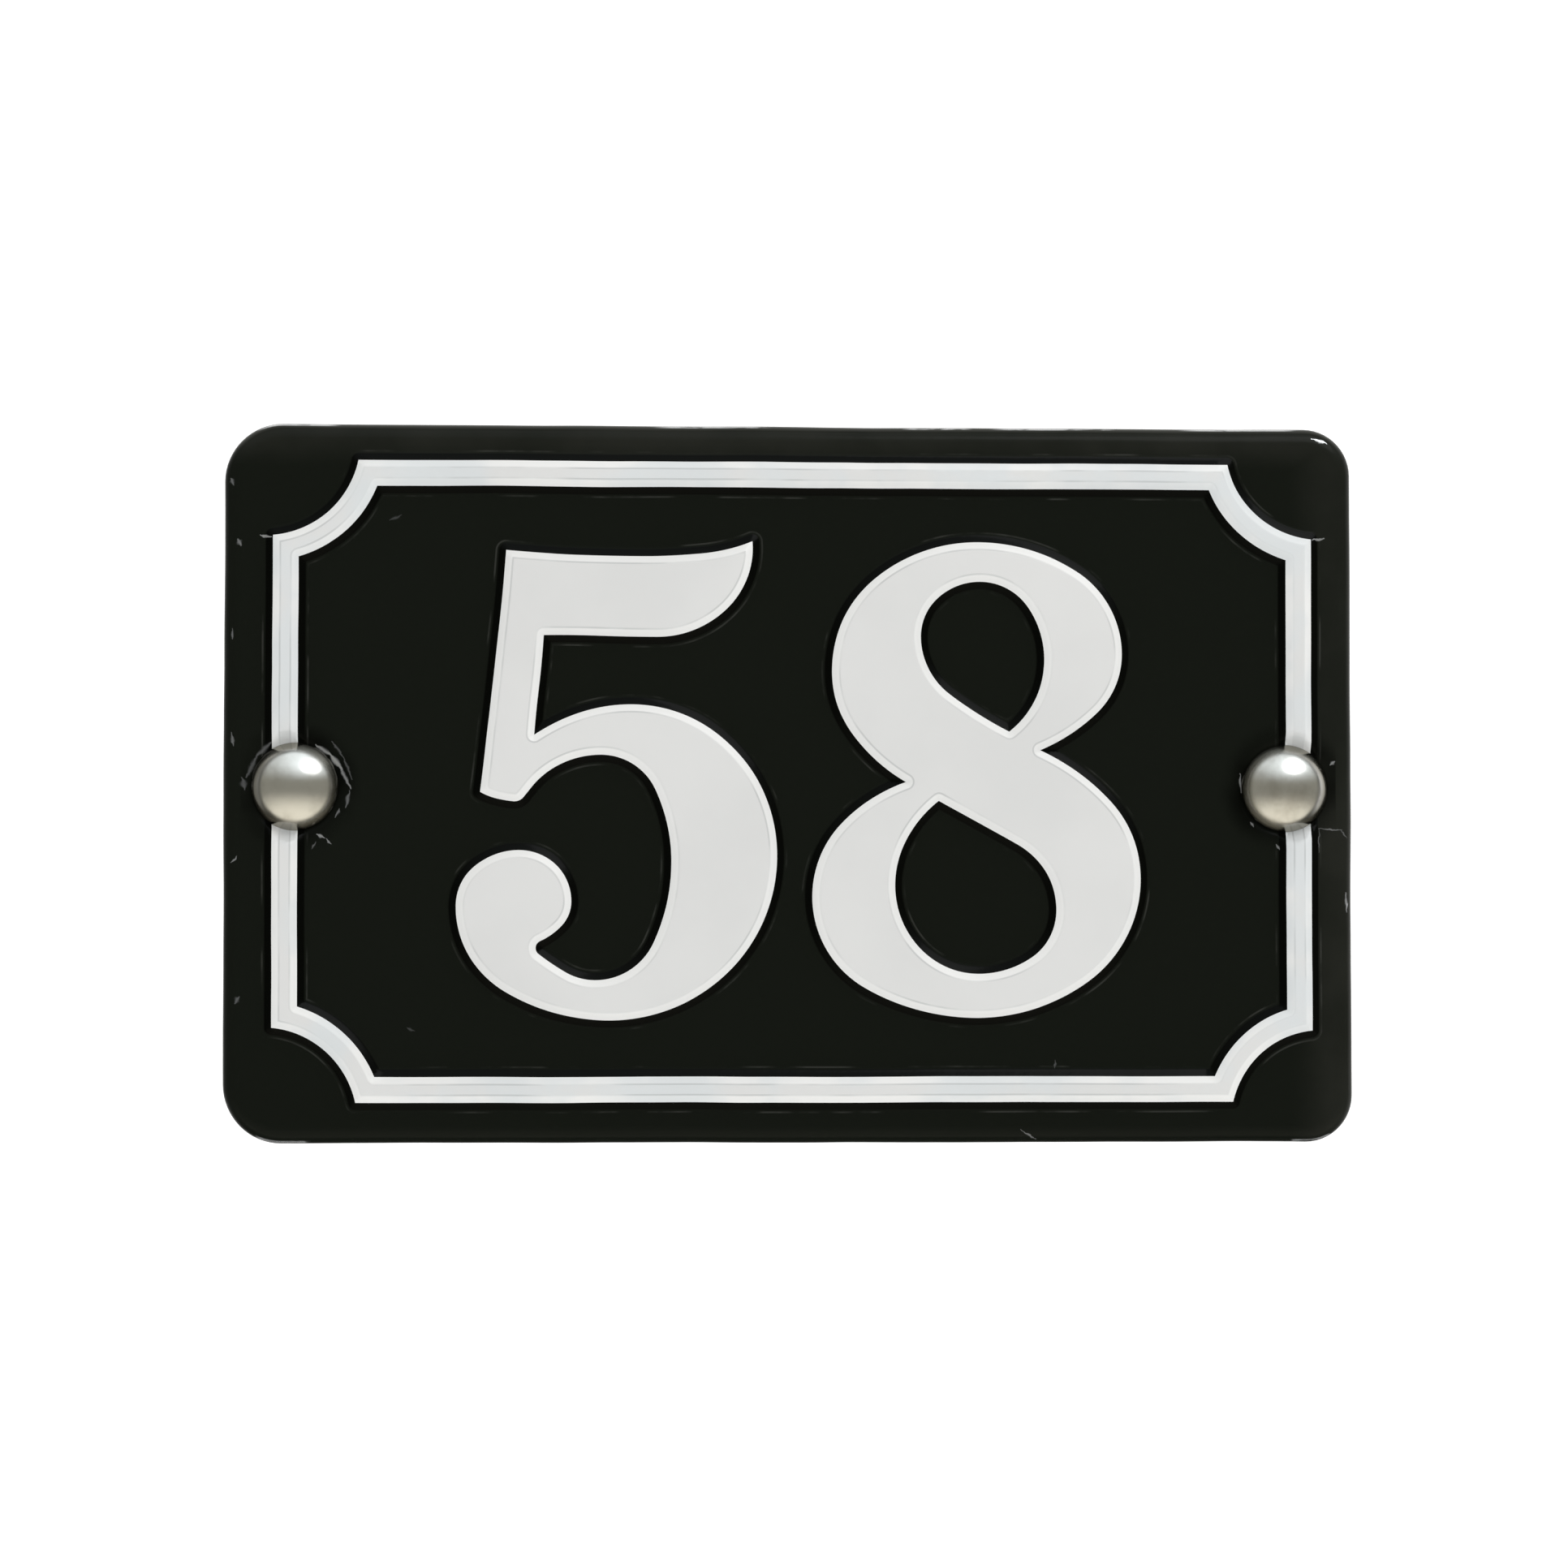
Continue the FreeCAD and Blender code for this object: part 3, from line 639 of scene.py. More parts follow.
    def measure(self, to_line, to_edge):
        """Signed distance into the white, distance beyond a seat and distance from the rim."""
        sides = [set() for _ in self.places]
        for triangle, white in zip(self.triangles, self.white):
            for corner in triangle:
                sides[corner].add(white)
        self.inset = []
        self.beyond_seat = []
        self.from_edge = []
        for place, touching in zip(self.places, sides):
            sign = 0 if len(touching) == 2 else (1 if True in touching else -1)
            self.inset.append(sign * to_line(place) - self.shift)
            beyond = min(abs(place - screw) for screw in self.screws) - self.seat_radius
            self.beyond_seat.append(beyond)
            self.from_edge.append(to_edge(place))


def rim_section(sizes):
    """Steps round the rolled rim from the front skin to the back skin.

    Each has its distance inwards from the outline, its depth and whether it is
    behind the edge that touches the wall.
    """
    centre = complex(sizes.rim_round, -sizes.rim_depth + sizes.rim_round)
    inner = sizes.rim_round - sizes.gauge
    edge = 0.12 * MM
    count = 10
    steps = []
    for step in range(1, count + 1):
        steps.append((centre - sizes.rim_round * cmath.exp(1j * math.pi / 2 * (1 - step / count)), 0))
    steps.append((complex(0, centre.imag / 2), 0))
    steps.append((complex(0, -edge), 0))
    steps.append((complex(edge, 0), 0))
    steps.append((complex(sizes.gauge - edge, 0), 1))
    steps.append((complex(sizes.gauge, -edge), 1))
    steps.append((complex(sizes.gauge, centre.imag / 2), 1))
    for step in range(count):
        steps.append((centre - inner * cmath.exp(1j * math.pi / 2 * step / count), 1))
    return [(step.real, step.imag, behind) for step, behind in steps]


def blank_mesh(sizes):
    """Front skin, back skin, rolled rim and hole walls as one closed mesh."""
    front = Blank(sizes, behind=False, coarse=1)
    back = Blank(sizes, behind=True, coarse=BACK_COARSENESS)
    corners = []
    faces = []
    white = []
    bare = []
    values = {"inset": [], "beyond_seat": [], "from_edge": []}
    for skin in (front, back):
        first = len(corners)
        corners += [(place.real, skin.level, place.imag) for place in skin.places]
        values["inset"] += skin.inset
        values["beyond_seat"] += skin.beyond_seat
        values["from_edge"] += skin.from_edge
        for triangle, is_painted_white in zip(skin.triangles, skin.white):
            ordered = triangle[::-1] if skin.behind else triangle
            faces.append([first + corner for corner in ordered])
            white.append(is_painted_white and not skin.behind)
            bare.append(skin.behind)
    rows = [front.boundary]
    kinds = []
    travelled = 0.0
    previous = complex(sizes.rim_round, -sizes.rim_depth)
    for inwards, depth, behind in rim_section(sizes):
        travelled += abs(complex(inwards, depth) - previous)
        previous = complex(inwards, depth)
        rows.append(list(range(len(corners), len(corners) + len(front.boundary))))
        for place, _ in rounded_plate(sizes, inwards):
            corners.append((place.real, depth, place.imag))
            values["inset"].append(-1.0)
            values["beyond_seat"].append(1.0)
            values["from_edge"].append(-travelled)
        kinds.append(bool(behind))
    first_behind = len(front.places)
    rows.append([first_behind + corner for corner in back.boundary])
    kinds.append(True)
    for row, following, behind in zip(rows, rows[1:], kinds):
        for number in range(len(row)):
            after = (number + 1) % len(row)
            faces.append([row[after], row[number], following[number], following[after]])
            white.append(False)
            bare.append(behind)
    mesh = bpy.data.meshes.new("blank")
    mesh.from_pydata(corners, [], faces)
    for name, numbers in values.items():
        mesh.attributes.new(name, "FLOAT", "POINT").data.foreach_set("value", numbers)
    for name, flags in (("white", white), ("bare", bare)):
        mesh.attributes.new(name, "FLOAT", "FACE").data.foreach_set("value", [float(flag) for flag in flags])
    close_holes(mesh)
    return mesh


def close_holes(mesh):
    """Joins the rings of each screw hole in the two skins and turns all faces outwards."""
    shape = bmesh.new()
    shape.from_mesh(mesh)
    bare = shape.faces.layers.float["bare"]
    before = set(shape.faces)
    for side in (-1, 1):
        rings = [edge for edge in shape.edges if edge.is_boundary and edge.verts[0].co.x * side > 0]
        bmesh.ops.bridge_loops(shape, edges=rings)
    for face in shape.faces:
        if face not in before:
            face[bare] = 1.0
    bmesh.ops.triangulate(shape, faces=[face for face in shape.faces if len(face.verts) > 4])
    bmesh.ops.recalc_face_normals(shape, faces=shape.faces)
    shape.to_mesh(mesh)
    shape.free()


# Node trees

class Wiring:
    """Adds nodes to a tree and links them, so that a formula reads in order."""

    def __init__(self, tree):
        self.tree = tree

    def feed(self, socket, value):
        if isinstance(value, bpy.types.NodeSocket):
            self.tree.links.new(value, socket)
        elif value is not None:
            socket.default_value = value

    def node(self, kind, inputs=(), **settings):
        made = self.tree.nodes.new(kind)
        for name, value in settings.items():
            setattr(made, name, value)
        for socket, value in dict(inputs).items():
            self.feed(made.inputs[socket], value)
        return made

    def math(self, operation, *values):
        made = self.node("ShaderNodeMath", operation=operation)
        for socket, value in zip(made.inputs, values):
            self.feed(socket, value)
        return made.outputs[0]

    def times(self, first, second):
        return self.math("MULTIPLY", first, second)

    def vector(self, operation, *values, output=0):
        made = self.node("ShaderNodeVectorMath", operation=operation)
        for socket, value in zip(made.inputs, values):
            self.feed(socket, value)
        return made.outputs[output]

    def span(self, value, low, high, from_value=0.0, to_value=1.0):
        """Value that eases from one number to another while the input goes from low to high."""
        made = self.node("ShaderNodeMapRange", interpolation_type="SMOOTHSTEP")
        for socket, item in zip(made.inputs, (value, low, high, from_value, to_value)):
            self.feed(socket, item)
        return made.outputs[0]


def new_tree(name, inputs):
    """Geometry tree with a mesh in, a mesh out and named inputs for its sizes."""
    tree = bpy.data.node_groups.new(name, "GeometryNodeTree")
    tree.interface.new_socket("Geometry", in_out="INPUT", socket_type="NodeSocketGeometry")
    for kind, titles in inputs.items():
        for title in titles:
            tree.interface.new_socket(title, in_out="INPUT", socket_type=kind)
    tree.interface.new_socket("Geometry", in_out="OUTPUT", socket_type="NodeSocketGeometry")
    wiring = Wiring(tree)
    return tree, wiring, tree.nodes.new("NodeGroupInput"), tree.nodes.new("NodeGroupOutput")


def named_float(wiring, name):
    made = wiring.node("GeometryNodeInputNamedAttribute", data_type="FLOAT")
    made.inputs["Name"].default_value = name
    return made.outputs["Attribute"]


def finish_tree(wiring, geometry, group_output, materials):
    """Makes all real and sets the material of all, then of each selection."""
    real = wiring.node("GeometryNodeRealizeInstances", {"Geometry": geometry})
    last = real.outputs["Geometry"]
    for selection, material in materials:
        painted = wiring.node("GeometryNodeSetMaterial", {"Geometry": last, "Selection": selection})
        wiring.feed(painted.inputs["Material"], material)
        last = painted.outputs["Geometry"]
    wiring.tree.links.new(last, group_output.inputs["Geometry"])


# Light of the room in each direction, as polished pieces see it
WINDOW_GLOW = (1.20, 1.29, 1.31, 1.0)
LEVEL_GLOW = (0.26, 0.255, 0.215, 1.0)
GROUND_GLOW = (0.95, 0.90, 0.75, 1.0)
EDGE_GLOW = (0.07, 0.07, 0.06, 1.0)
WALL_GLOW = (0.90, 0.90, 0.88, 1.0)

# Light on dull surfaces, and what the camera sees behind the floor
DULL_LIGHT = (0.77, 0.77, 0.77, 1.0)
BACKDROP = (0.97, 0.97, 0.97, 1.0)

NUMBER = "NodeSocketFloat"
WHOLE = "NodeSocketInt"
MATERIAL = "NodeSocketMaterial"


def press_tree():
    """Raises the relief from a flat blank, crushes the seats and lets the sheet wave a little."""
    tree, wiring, given, result = new_tree("press the sheet", {
        NUMBER: (
            "Rise", "Flank run", "Foot ease", "Shoulder ease", "Seat depth", "Seat ease", "Dish depth",
            "Dish width", "Waviness", "Wander", "Crumple",
        ),
        WHOLE: ("Wave seed",),
        MATERIAL: ("Black", "White", "Bare"),
    })
    size = given.outputs
    inset = named_float(wiring, "inset")
    beyond_seat = named_float(wiring, "beyond_seat")
    from_edge = named_float(wiring, "from_edge")
    slope = wiring.math("DIVIDE", size["Rise"], size["Flank run"])
    half_run = wiring.times(size["Flank run"], COLOUR_EDGE)
    climbed = wiring.times(wiring.math("ADD", inset, half_run), slope)
    capped = wiring.math("SMOOTH_MIN", climbed, size["Rise"], size["Shoulder ease"])
    relief = wiring.math("SMOOTH_MAX", capped, 0.0, size["Foot ease"])
    cone = wiring.math("SUBTRACT", wiring.math("MAXIMUM", beyond_seat, 0.0), size["Seat depth"])
    dish = wiring.times(wiring.span(beyond_seat, size["Dish width"], 0.0), size["Dish depth"])
    drawn_in = wiring.math("SUBTRACT", relief, dish)
    pressed = wiring.math("SMOOTH_MIN", drawn_in, cone, size["Seat ease"])
    place = wiring.node("GeometryNodeInputPosition").outputs[0]
    flat_place = wiring.vector("MULTIPLY", place, (1.0, 0.0, 1.0))
    clear_of_seat = wiring.span(beyond_seat, 0.0, 0.01)
    fading = wiring.times(wiring.span(from_edge, 0.0, 0.008), clear_of_seat)

    def wave(scale, seed_shift):
        made = wiring.node("ShaderNodeTexNoise", {"Vector": flat_place, "Scale": scale, "Detail": 1.5})
        made.noise_dimensions = "4D"
        wiring.feed(made.inputs["W"], wiring.math("ADD", size["Wave seed"], seed_shift))
        return wiring.math("SUBTRACT", made.outputs[0], 0.5)

    outwards = wiring.times(wave(28.0, 0.3), wiring.times(fading, size["Waviness"]))
    astray = wiring.times(clear_of_seat, size["Wander"])
    across = wiring.times(wave(55.0, 7.1), astray)
    up = wiring.times(wave(55.0, 13.7), astray)
    round_seat = wiring.times(wiring.span(beyond_seat, 0.0, 0.0006), wiring.span(beyond_seat, 0.003, 0.0015))
    crumpled = wiring.times(wave(420.0, 21.3), wiring.times(round_seat, size["Crumple"]))
    forward = wiring.times(wiring.math("ADD", wiring.math("ADD", pressed, outwards), crumpled), -1.0)
    step = wiring.node("ShaderNodeCombineXYZ", {0: across, 1: forward, 2: up}).outputs[0]
    moved = wiring.node("GeometryNodeSetPosition", {"Geometry": size["Geometry"], "Offset": step})
    white = wiring.math("GREATER_THAN", named_float(wiring, "white"), 0.5)
    bare = wiring.math("GREATER_THAN", named_float(wiring, "bare"), 0.5)
    finish_tree(wiring, moved.outputs["Geometry"], result, [
        (True, size["Black"]),
        (white, size["White"]),
        (bare, size["Bare"]),
    ])
    return tree


def thread_tree():
    """Winds a tapering ridge round the Y axis, for a screw's or a stud's thread."""
    tree, wiring, given, result = new_tree("wind the thread", {
        NUMBER: ("Core radius", "Depth", "Pitch", "Start", "End", "Point length", "Place"),
        MATERIAL: ("Material",),
    })
    size = given.outputs
    run = wiring.math("SUBTRACT", size["End"], size["Start"])
    turns = wiring.math("DIVIDE", run, size["Pitch"])
    spiral = wiring.node("GeometryNodeCurveSpiral", {
        "Resolution": 36, "Rotations": turns, "Start Radius": 1.0, "End Radius": 1.0, "Height": run,
    })
    place = wiring.node("GeometryNodeInputPosition").outputs[0]
    parts = wiring.node("ShaderNodeSeparateXYZ", {0: place}).outputs
    depth = wiring.math("ADD", size["Start"], parts[2])
    left = wiring.math("SUBTRACT", size["End"], depth)
    taper = wiring.math("MINIMUM", wiring.math("DIVIDE", left, size["Point length"]), 1.0)
    opening = wiring.math("MINIMUM", wiring.math("DIVIDE", parts[2], size["Pitch"]), 1.0)
    radius = wiring.times(size["Core radius"], taper)
    across = wiring.math("ADD", wiring.times(parts[0], radius), size["Place"])
    up = wiring.times(wiring.times(parts[1], radius), -1.0)
    wound = wiring.node("ShaderNodeCombineXYZ", {0: across, 1: depth, 2: up}).outputs[0]
    moved = wiring.node("GeometryNodeSetPosition", {"Geometry": spiral.outputs[0], "Position": wound})
    height = wiring.times(wiring.math("MINIMUM", taper, opening), size["Depth"])
    ridge = wiring.node("GeometryNodeSetCurveRadius", {
        "Curve": moved.outputs[0], "Radius": wiring.math("MAXIMUM", height, 0.00002),
    })
    profile = wiring.node("GeometryNodeCurvePrimitiveCircle", {"Resolution": 4, "Radius": 1.0})
    scale = wiring.node("GeometryNodeInputRadius").outputs[0]
    swept = wiring.node("GeometryNodeCurveToMesh", {
        "Curve": ridge.outputs[0], "Profile Curve": profile.outputs[0], "Fill Caps": True,
    })
    if "Scale" in swept.inputs:
        wiring.feed(swept.inputs["Scale"], scale)
    both = wiring.node("GeometryNodeJoinGeometry")
    wiring.tree.links.new(swept.outputs[0], both.inputs[0])
    wiring.tree.links.new(size["Geometry"], both.inputs[0])
    smooth = wiring.node("GeometryNodeSetShadeSmooth", {"Geometry": both.outputs[0], "Shade Smooth": True})
    finish_tree(wiring, smooth.outputs[0], result, [(True, size["Material"])])
    return tree


def run_tree(subject, tree, sizes, inputs):
    """Runs a tree on an object and leaves its result as the object's plain mesh.

    An input that isn't given takes the size of the same name.
    """
    modifier = subject.modifiers.new(tree.name, "NODES")
    modifier.node_group = tree
    for item in tree.interface.items_tree:
        if item.in_out == "OUTPUT" or item.name == "Geometry":
            continue
        if item.name in inputs:
            modifier[item.identifier] = inputs[item.name]
        else:
            modifier[item.identifier] = getattr(sizes, item.name.lower().replace(" ", "_"))
    keep_result(subject)


def keep_result(subject):
    """Replaces an object's mesh by what its modifiers make of it."""
    bpy.context.view_layer.update()
    depsgraph = bpy.context.evaluated_depsgraph_get()
    result = bpy.data.meshes.new_from_object(
        subject.evaluated_get(depsgraph), preserve_all_data_layers=True, depsgraph=depsgraph
    )
    subject.modifiers.clear()
    subject.data = result
    result.name = subject.name


def new_piece(name, data):
    """Object in the scene for a mesh, a lamp or a lens."""
    made = bpy.data.objects.new(name, data)
    bpy.context.scene.collection.objects.link(made)
    return made


def stand_for(piece, node, sharp_degrees):
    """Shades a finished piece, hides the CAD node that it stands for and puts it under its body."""
    piece.data.shade_smooth()
    piece.data.set_sharp_from_angle(angle=math.radians(sharp_degrees))
    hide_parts(node)
    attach(piece, BODY)


# Finishes

# Painted highlight for the top of the rim's round
BROW_HIGHLIGHT = (0.042, 0.043, 0.036, 1.0)
# Painted shade for the lower flanks and round the seats
PAINTED_SHADE_BLACK = (0.0004, 0.0006, 0.0003, 1.0)
# Painted highlight for the feet of the flanks
FOOT_SHEEN = (0.055, 0.056, 0.050, 1.0)
# Grey for the white's blotches and for painted shade along its shoulders
SHADE_AND_BLOTCH_GREY = (0.42, 0.43, 0.43, 1.0)
# Painted shade for the caps' outer edges
CAP_EDGE_SHADE = (0.36, 0.345, 0.30, 1.0)


def new_material(name):
    material = bpy.data.materials.new(name)
    material.use_nodes = True
    material.node_tree.nodes.clear()
    wiring = Wiring(material.node_tree)
    surface = wiring.node("ShaderNodeBsdfPrincipled")
    output = wiring.node("ShaderNodeOutputMaterial")
    wiring.tree.links.new(surface.outputs[0], output.inputs["Surface"])
    return material, wiring, surface.inputs


def on_object(wiring, stretch=(1.0, 1.0, 1.0)):
    """Object coordinates, stretched for patterns with a direction."""
    place = wiring.node("ShaderNodeTexCoord").outputs["Object"]
    return wiring.node("ShaderNodeMapping", {"Vector": place, "Scale": stretch}).outputs[0]


def noise(wiring, place, scale, detail=2.0, roughness=0.5):
    return wiring.node("ShaderNodeTexNoise", {
        "Vector": place, "Scale": scale, "Detail": detail, "Roughness": roughness,
    }).outputs[0]


def attribute(wiring, name):
    made = wiring.node("ShaderNodeAttribute")
    made.attribute_name = name
    return made.outputs["Fac"]


def blended(wiring, part, first, second):
    made = wiring.node("ShaderNodeMix", data_type="RGBA")
    wiring.feed(made.inputs[0], part)
    wiring.feed(made.inputs[6], first)
    wiring.feed(made.inputs[7], second)
    return made.outputs[2]


def bumped(wiring, height, distance, strength=1.0, under=None):
    made = wiring.node("ShaderNodeBump", {"Height": height, "Distance": distance, "Strength": strength})
    wiring.feed(made.inputs["Normal"], under)
    return made.outputs[0]


def opaque(colour):
    return (*colour, 1.0)


def on_face(wiring, uneven):
    """Object coordinates without their depth, made uneven so that marks look torn."""
    place = wiring.node("ShaderNodeTexCoord").outputs["Object"]
    drift = wiring.node("ShaderNodeTexNoise", {"Vector": place, "Scale": 1400.0, "Detail": 2.0}).outputs[1]
    centred = wiring.vector("SUBTRACT", drift, (0.5, 0.5, 0.5))
    torn = wiring.vector("ADD", place, wiring.vector("MULTIPLY", centred, (uneven, 0.0, uneven)))
    return wiring.vector("MULTIPLY", torn, (1.0, 0.0, 1.0))


def stroke(wiring, place, start, end, half_width):
    """Share from 0 to 1 of a place that lies on a stroke between two points in millimetres."""
    first = Vector((start[0], 0.0, start[1])) * MM
    run = Vector((end[0], 0.0, end[1])) * MM - first
    offset = wiring.vector("SUBTRACT", place, first)
    along = wiring.math("DIVIDE", wiring.vector("DOT_PRODUCT", offset, run, output=1), run.length_squared)
    along.node.use_clamp = True
    nearest = wiring.node("ShaderNodeVectorMath", {0: run, "Scale": along}, operation="SCALE").outputs[0]
    distance = wiring.vector("DISTANCE", offset, nearest, output=1)
    # Strokes are widest in the middle and thin out to both ends
    taper = wiring.span(wiring.math("PINGPONG", along, 0.5), 0.0, 0.5, 0.3, 1.0)
    share = wiring.span(wiring.math("DIVIDE", distance, taper), 1.3 * half_width * MM, 0.0)
    return wiring.math("POWER", share, 2.0)


def highest(wiring, values):
    top = values[0]
    for value in values[1:]:
        top = wiring.math("MAXIMUM", top, value)
    return top


def between(wiring, value, low, high, ease):
    """Band of 1 between two values, with eased sides."""
    return wiring.times(wiring.span(value, low - ease, low), wiring.span(value, high + ease, high))


def black_lacquer(finishes):
    """Gloss black with painted shade on the flanks and round the seats, painted highlights along the feet and
    on the rim's brow, a painted sheen on the top and right margins, and bare metal in its marks and where the
    rim is worn, which partly stands in for a highlight.
    """
    material, wiring, surface = new_material("black lacquer")
    place = on_object(wiring)
    inset = attribute(wiring, "inset")
    from_edge = attribute(wiring, "from_edge")
    beyond_seat = attribute(wiring, "beyond_seat")
    flat = on_face(wiring, 0.0005)
    marks = highest(wiring, [
        wiring.times(stroke(wiring, flat, start, end, half_width), strength)
        for start, end, half_width, strength in MARKS
    ])
    away = [
        wiring.vector("DISTANCE", flat, (across * MM, 0.0, up * MM), output=1)
        for (across, up), _ in WORN_STRETCHES
    ]
    stretches = highest(wiring, [
        wiring.span(distance, reach * MM, 0.6 * reach * MM)
        for distance, (_, reach) in zip(away, WORN_STRETCHES)
    ])
    # Bare metal along the rim's round: partly wear, partly a stand-in for the highlight along its bend
    on_round = between(wiring, from_edge, -0.0029, -0.0026, 0.0003)
    rubbed = wiring.span(noise(wiring, on_object(wiring, (0.3, 1.0, 1.0)), 420.0, 4.0, 0.62), 0.38, 0.50)
    worn = wiring.times(on_round, wiring.times(rubbed, stretches))
    bare = wiring.math("MAXIMUM", wiring.times(worn, 0.8), marks)
    parts = wiring.node("ShaderNodeSeparateXYZ", {0: flat}).outputs
    # Painted sheen: the black is lighter along the top and right margins, towards the light
    at_top = wiring.span(parts[2], 0.0435, 0.0475)
    at_right = wiring.span(parts[0], 0.0680, 0.0745)
    on_margin = wiring.math("MAXIMUM", at_top, at_right)
    margin_sheen = wiring.times(on_margin, wiring.span(noise(wiring, place, 70.0, 3.0), 0.3, 0.7, 0.4, 1.0))
    margin_lit = blended(wiring, margin_sheen, opaque(finishes.black), opaque(finishes.margin_sheen))
    # Painted highlight: the black is lightened on the top of the rim's round, where it catches light from
    # above
    on_brow = wiring.times(wiring.span(from_edge, -0.0016, -0.0030), wiring.span(parts[2], 0.0455, 0.0480))
    brow_lit = blended(wiring, on_brow, margin_lit, BROW_HIGHLIGHT)
    # Painted shade: the black is darkened on the lower flanks and, in patches, round each seat where the cap
    # casts shadow
    on_flank = wiring.span(inset, -0.00115, -0.00085)
    patchy_shade = wiring.span(noise(wiring, place, 110.0, 2.0), 0.35, 0.65, 0.25, 0.85)
    seat_shade = wiring.times(wiring.span(beyond_seat, 0.0034, 0.0002), patchy_shade)
    shade_share = wiring.math("MAXIMUM", wiring.times(on_flank, 0.9), seat_shade)
    shaded = blended(wiring, shade_share, brow_lit, PAINTED_SHADE_BLACK)
    # Painted highlight: a broken light line along the foot of each flank
    foot = between(wiring, inset, -0.00140, -0.00125, 0.00008)
    broken = wiring.span(noise(wiring, place, 160.0, 3.0), 0.48, 0.70, 0.0, 0.50)
    lined = blended(wiring, wiring.times(foot, broken), shaded, FOOT_SHEEN)
    wiring.feed(surface["Base Color"], blended(wiring, bare, lined, opaque(finishes.aluminium)))
    wiring.feed(surface["Metallic"], bare)
    smear = noise(wiring, place, 35.0, 3.0)
    wiring.feed(surface["Roughness"], wiring.span(smear, 0.3, 0.7, 0.14, 0.22))
    surface["Specular IOR Level"].default_value = 0.06
    peel = bumped(wiring, noise(wiring, place, 700.0, 2.0), 0.00002)
    wiring.feed(surface["Normal"], peel)
    return material


def white_lacquer(finishes):
    """Gloss white with slight blotches, lighter flanks as painted highlight, bluish streaks of painted
    reflection on the border and a grey line of painted shade along each shoulder.
    """
    material, wiring, surface = new_material("white lacquer")
    place = on_object(wiring)
    inset = attribute(wiring, "inset")
    blotches = wiring.span(noise(wiring, place, 45.0, 4.0), 0.35, 0.7, 0.0, 0.10)
    # Painted shade: a broken grey line along each shoulder
    shoulder = between(wiring, inset, 0.00095, 0.00110, 0.00008)
    parts = wiring.node("ShaderNodeSeparateXYZ", {0: place}).outputs
    across = wiring.math("ABSOLUTE", parts[0])
    up = wiring.math("ABSOLUTE", wiring.math("SUBTRACT", parts[2], 0.0008))
    on_border = wiring.math("MAXIMUM", wiring.span(across, 0.050, 0.052), wiring.span(up, 0.0335, 0.0345))
    lining = wiring.span(noise(wiring, place, 75.0, 3.0), 0.42, 0.62, 0.03, 0.45)
    shoulder_shade = wiring.times(shoulder, lining)
    blotched_and_shaded = wiring.math("ADD", blotches, shoulder_shade)
    # Painted highlight: the flanks are a lighter white than the tops
    on_top = wiring.span(inset, 0.0008, 0.0011)
    painted = blended(wiring, on_top, opaque(finishes.white_edge), opaque(finishes.white))
    # Painted reflection: bluish streaks on the border's white
    streaks = wiring.span(noise(wiring, place, 90.0, 3.0), 0.40, 0.62, 0.0, 0.6)
    border_sheened = blended(wiring, wiring.times(on_border, streaks), painted, opaque(finishes.border_sheen_blue))
    wiring.feed(surface["Base Color"], blended(wiring, blotched_and_shaded, border_sheened, SHADE_AND_BLOTCH_GREY))
    surface["Roughness"].default_value = 0.24
    surface["Specular IOR Level"].default_value = 0.3
    wiring.feed(surface["Normal"], bumped(wiring, noise(wiring, place, 500.0, 2.0), 0.000015))
    return material


def rolled_aluminium(finishes):
    """Bare back of the sheet, with the fine lines of the rolling mill."""
    material, wiring, surface = new_material("rolled aluminium")
    lines = noise(wiring, on_object(wiring, (1.0, 1.0, 60.0)), 60.0, 4.0, 0.7)
    cloud = noise(wiring, on_object(wiring), 30.0, 3.0)
    wiring.feed(surface["Base Color"], blended(
        wiring, wiring.span(cloud, 0.35, 0.7), opaque(finishes.aluminium), (0.55, 0.56, 0.57, 1.0)
    ))
    surface["Metallic"].default_value = 1.0
    wiring.feed(surface["Roughness"], wiring.span(cloud, 0.3, 0.7, 0.34, 0.46))
    wiring.feed(surface["Normal"], bumped(wiring, lines, 0.00001))
    return material


def zinc_plate(finishes):
    """Bright zinc with a faint cloud."""
    material, wiring, surface = new_material("zinc plate")
    cloud = noise(wiring, on_object(wiring), 250.0, 3.0)
    wiring.feed(surface["Base Color"], blended(
        wiring, wiring.span(cloud, 0.3, 0.7), opaque(finishes.zinc), (0.74, 0.74, 0.72, 1.0)
    ))
    surface["Metallic"].default_value = 1.0
    wiring.feed(surface["Roughness"], wiring.span(cloud, 0.3, 0.7, 0.24, 0.36))
    return material


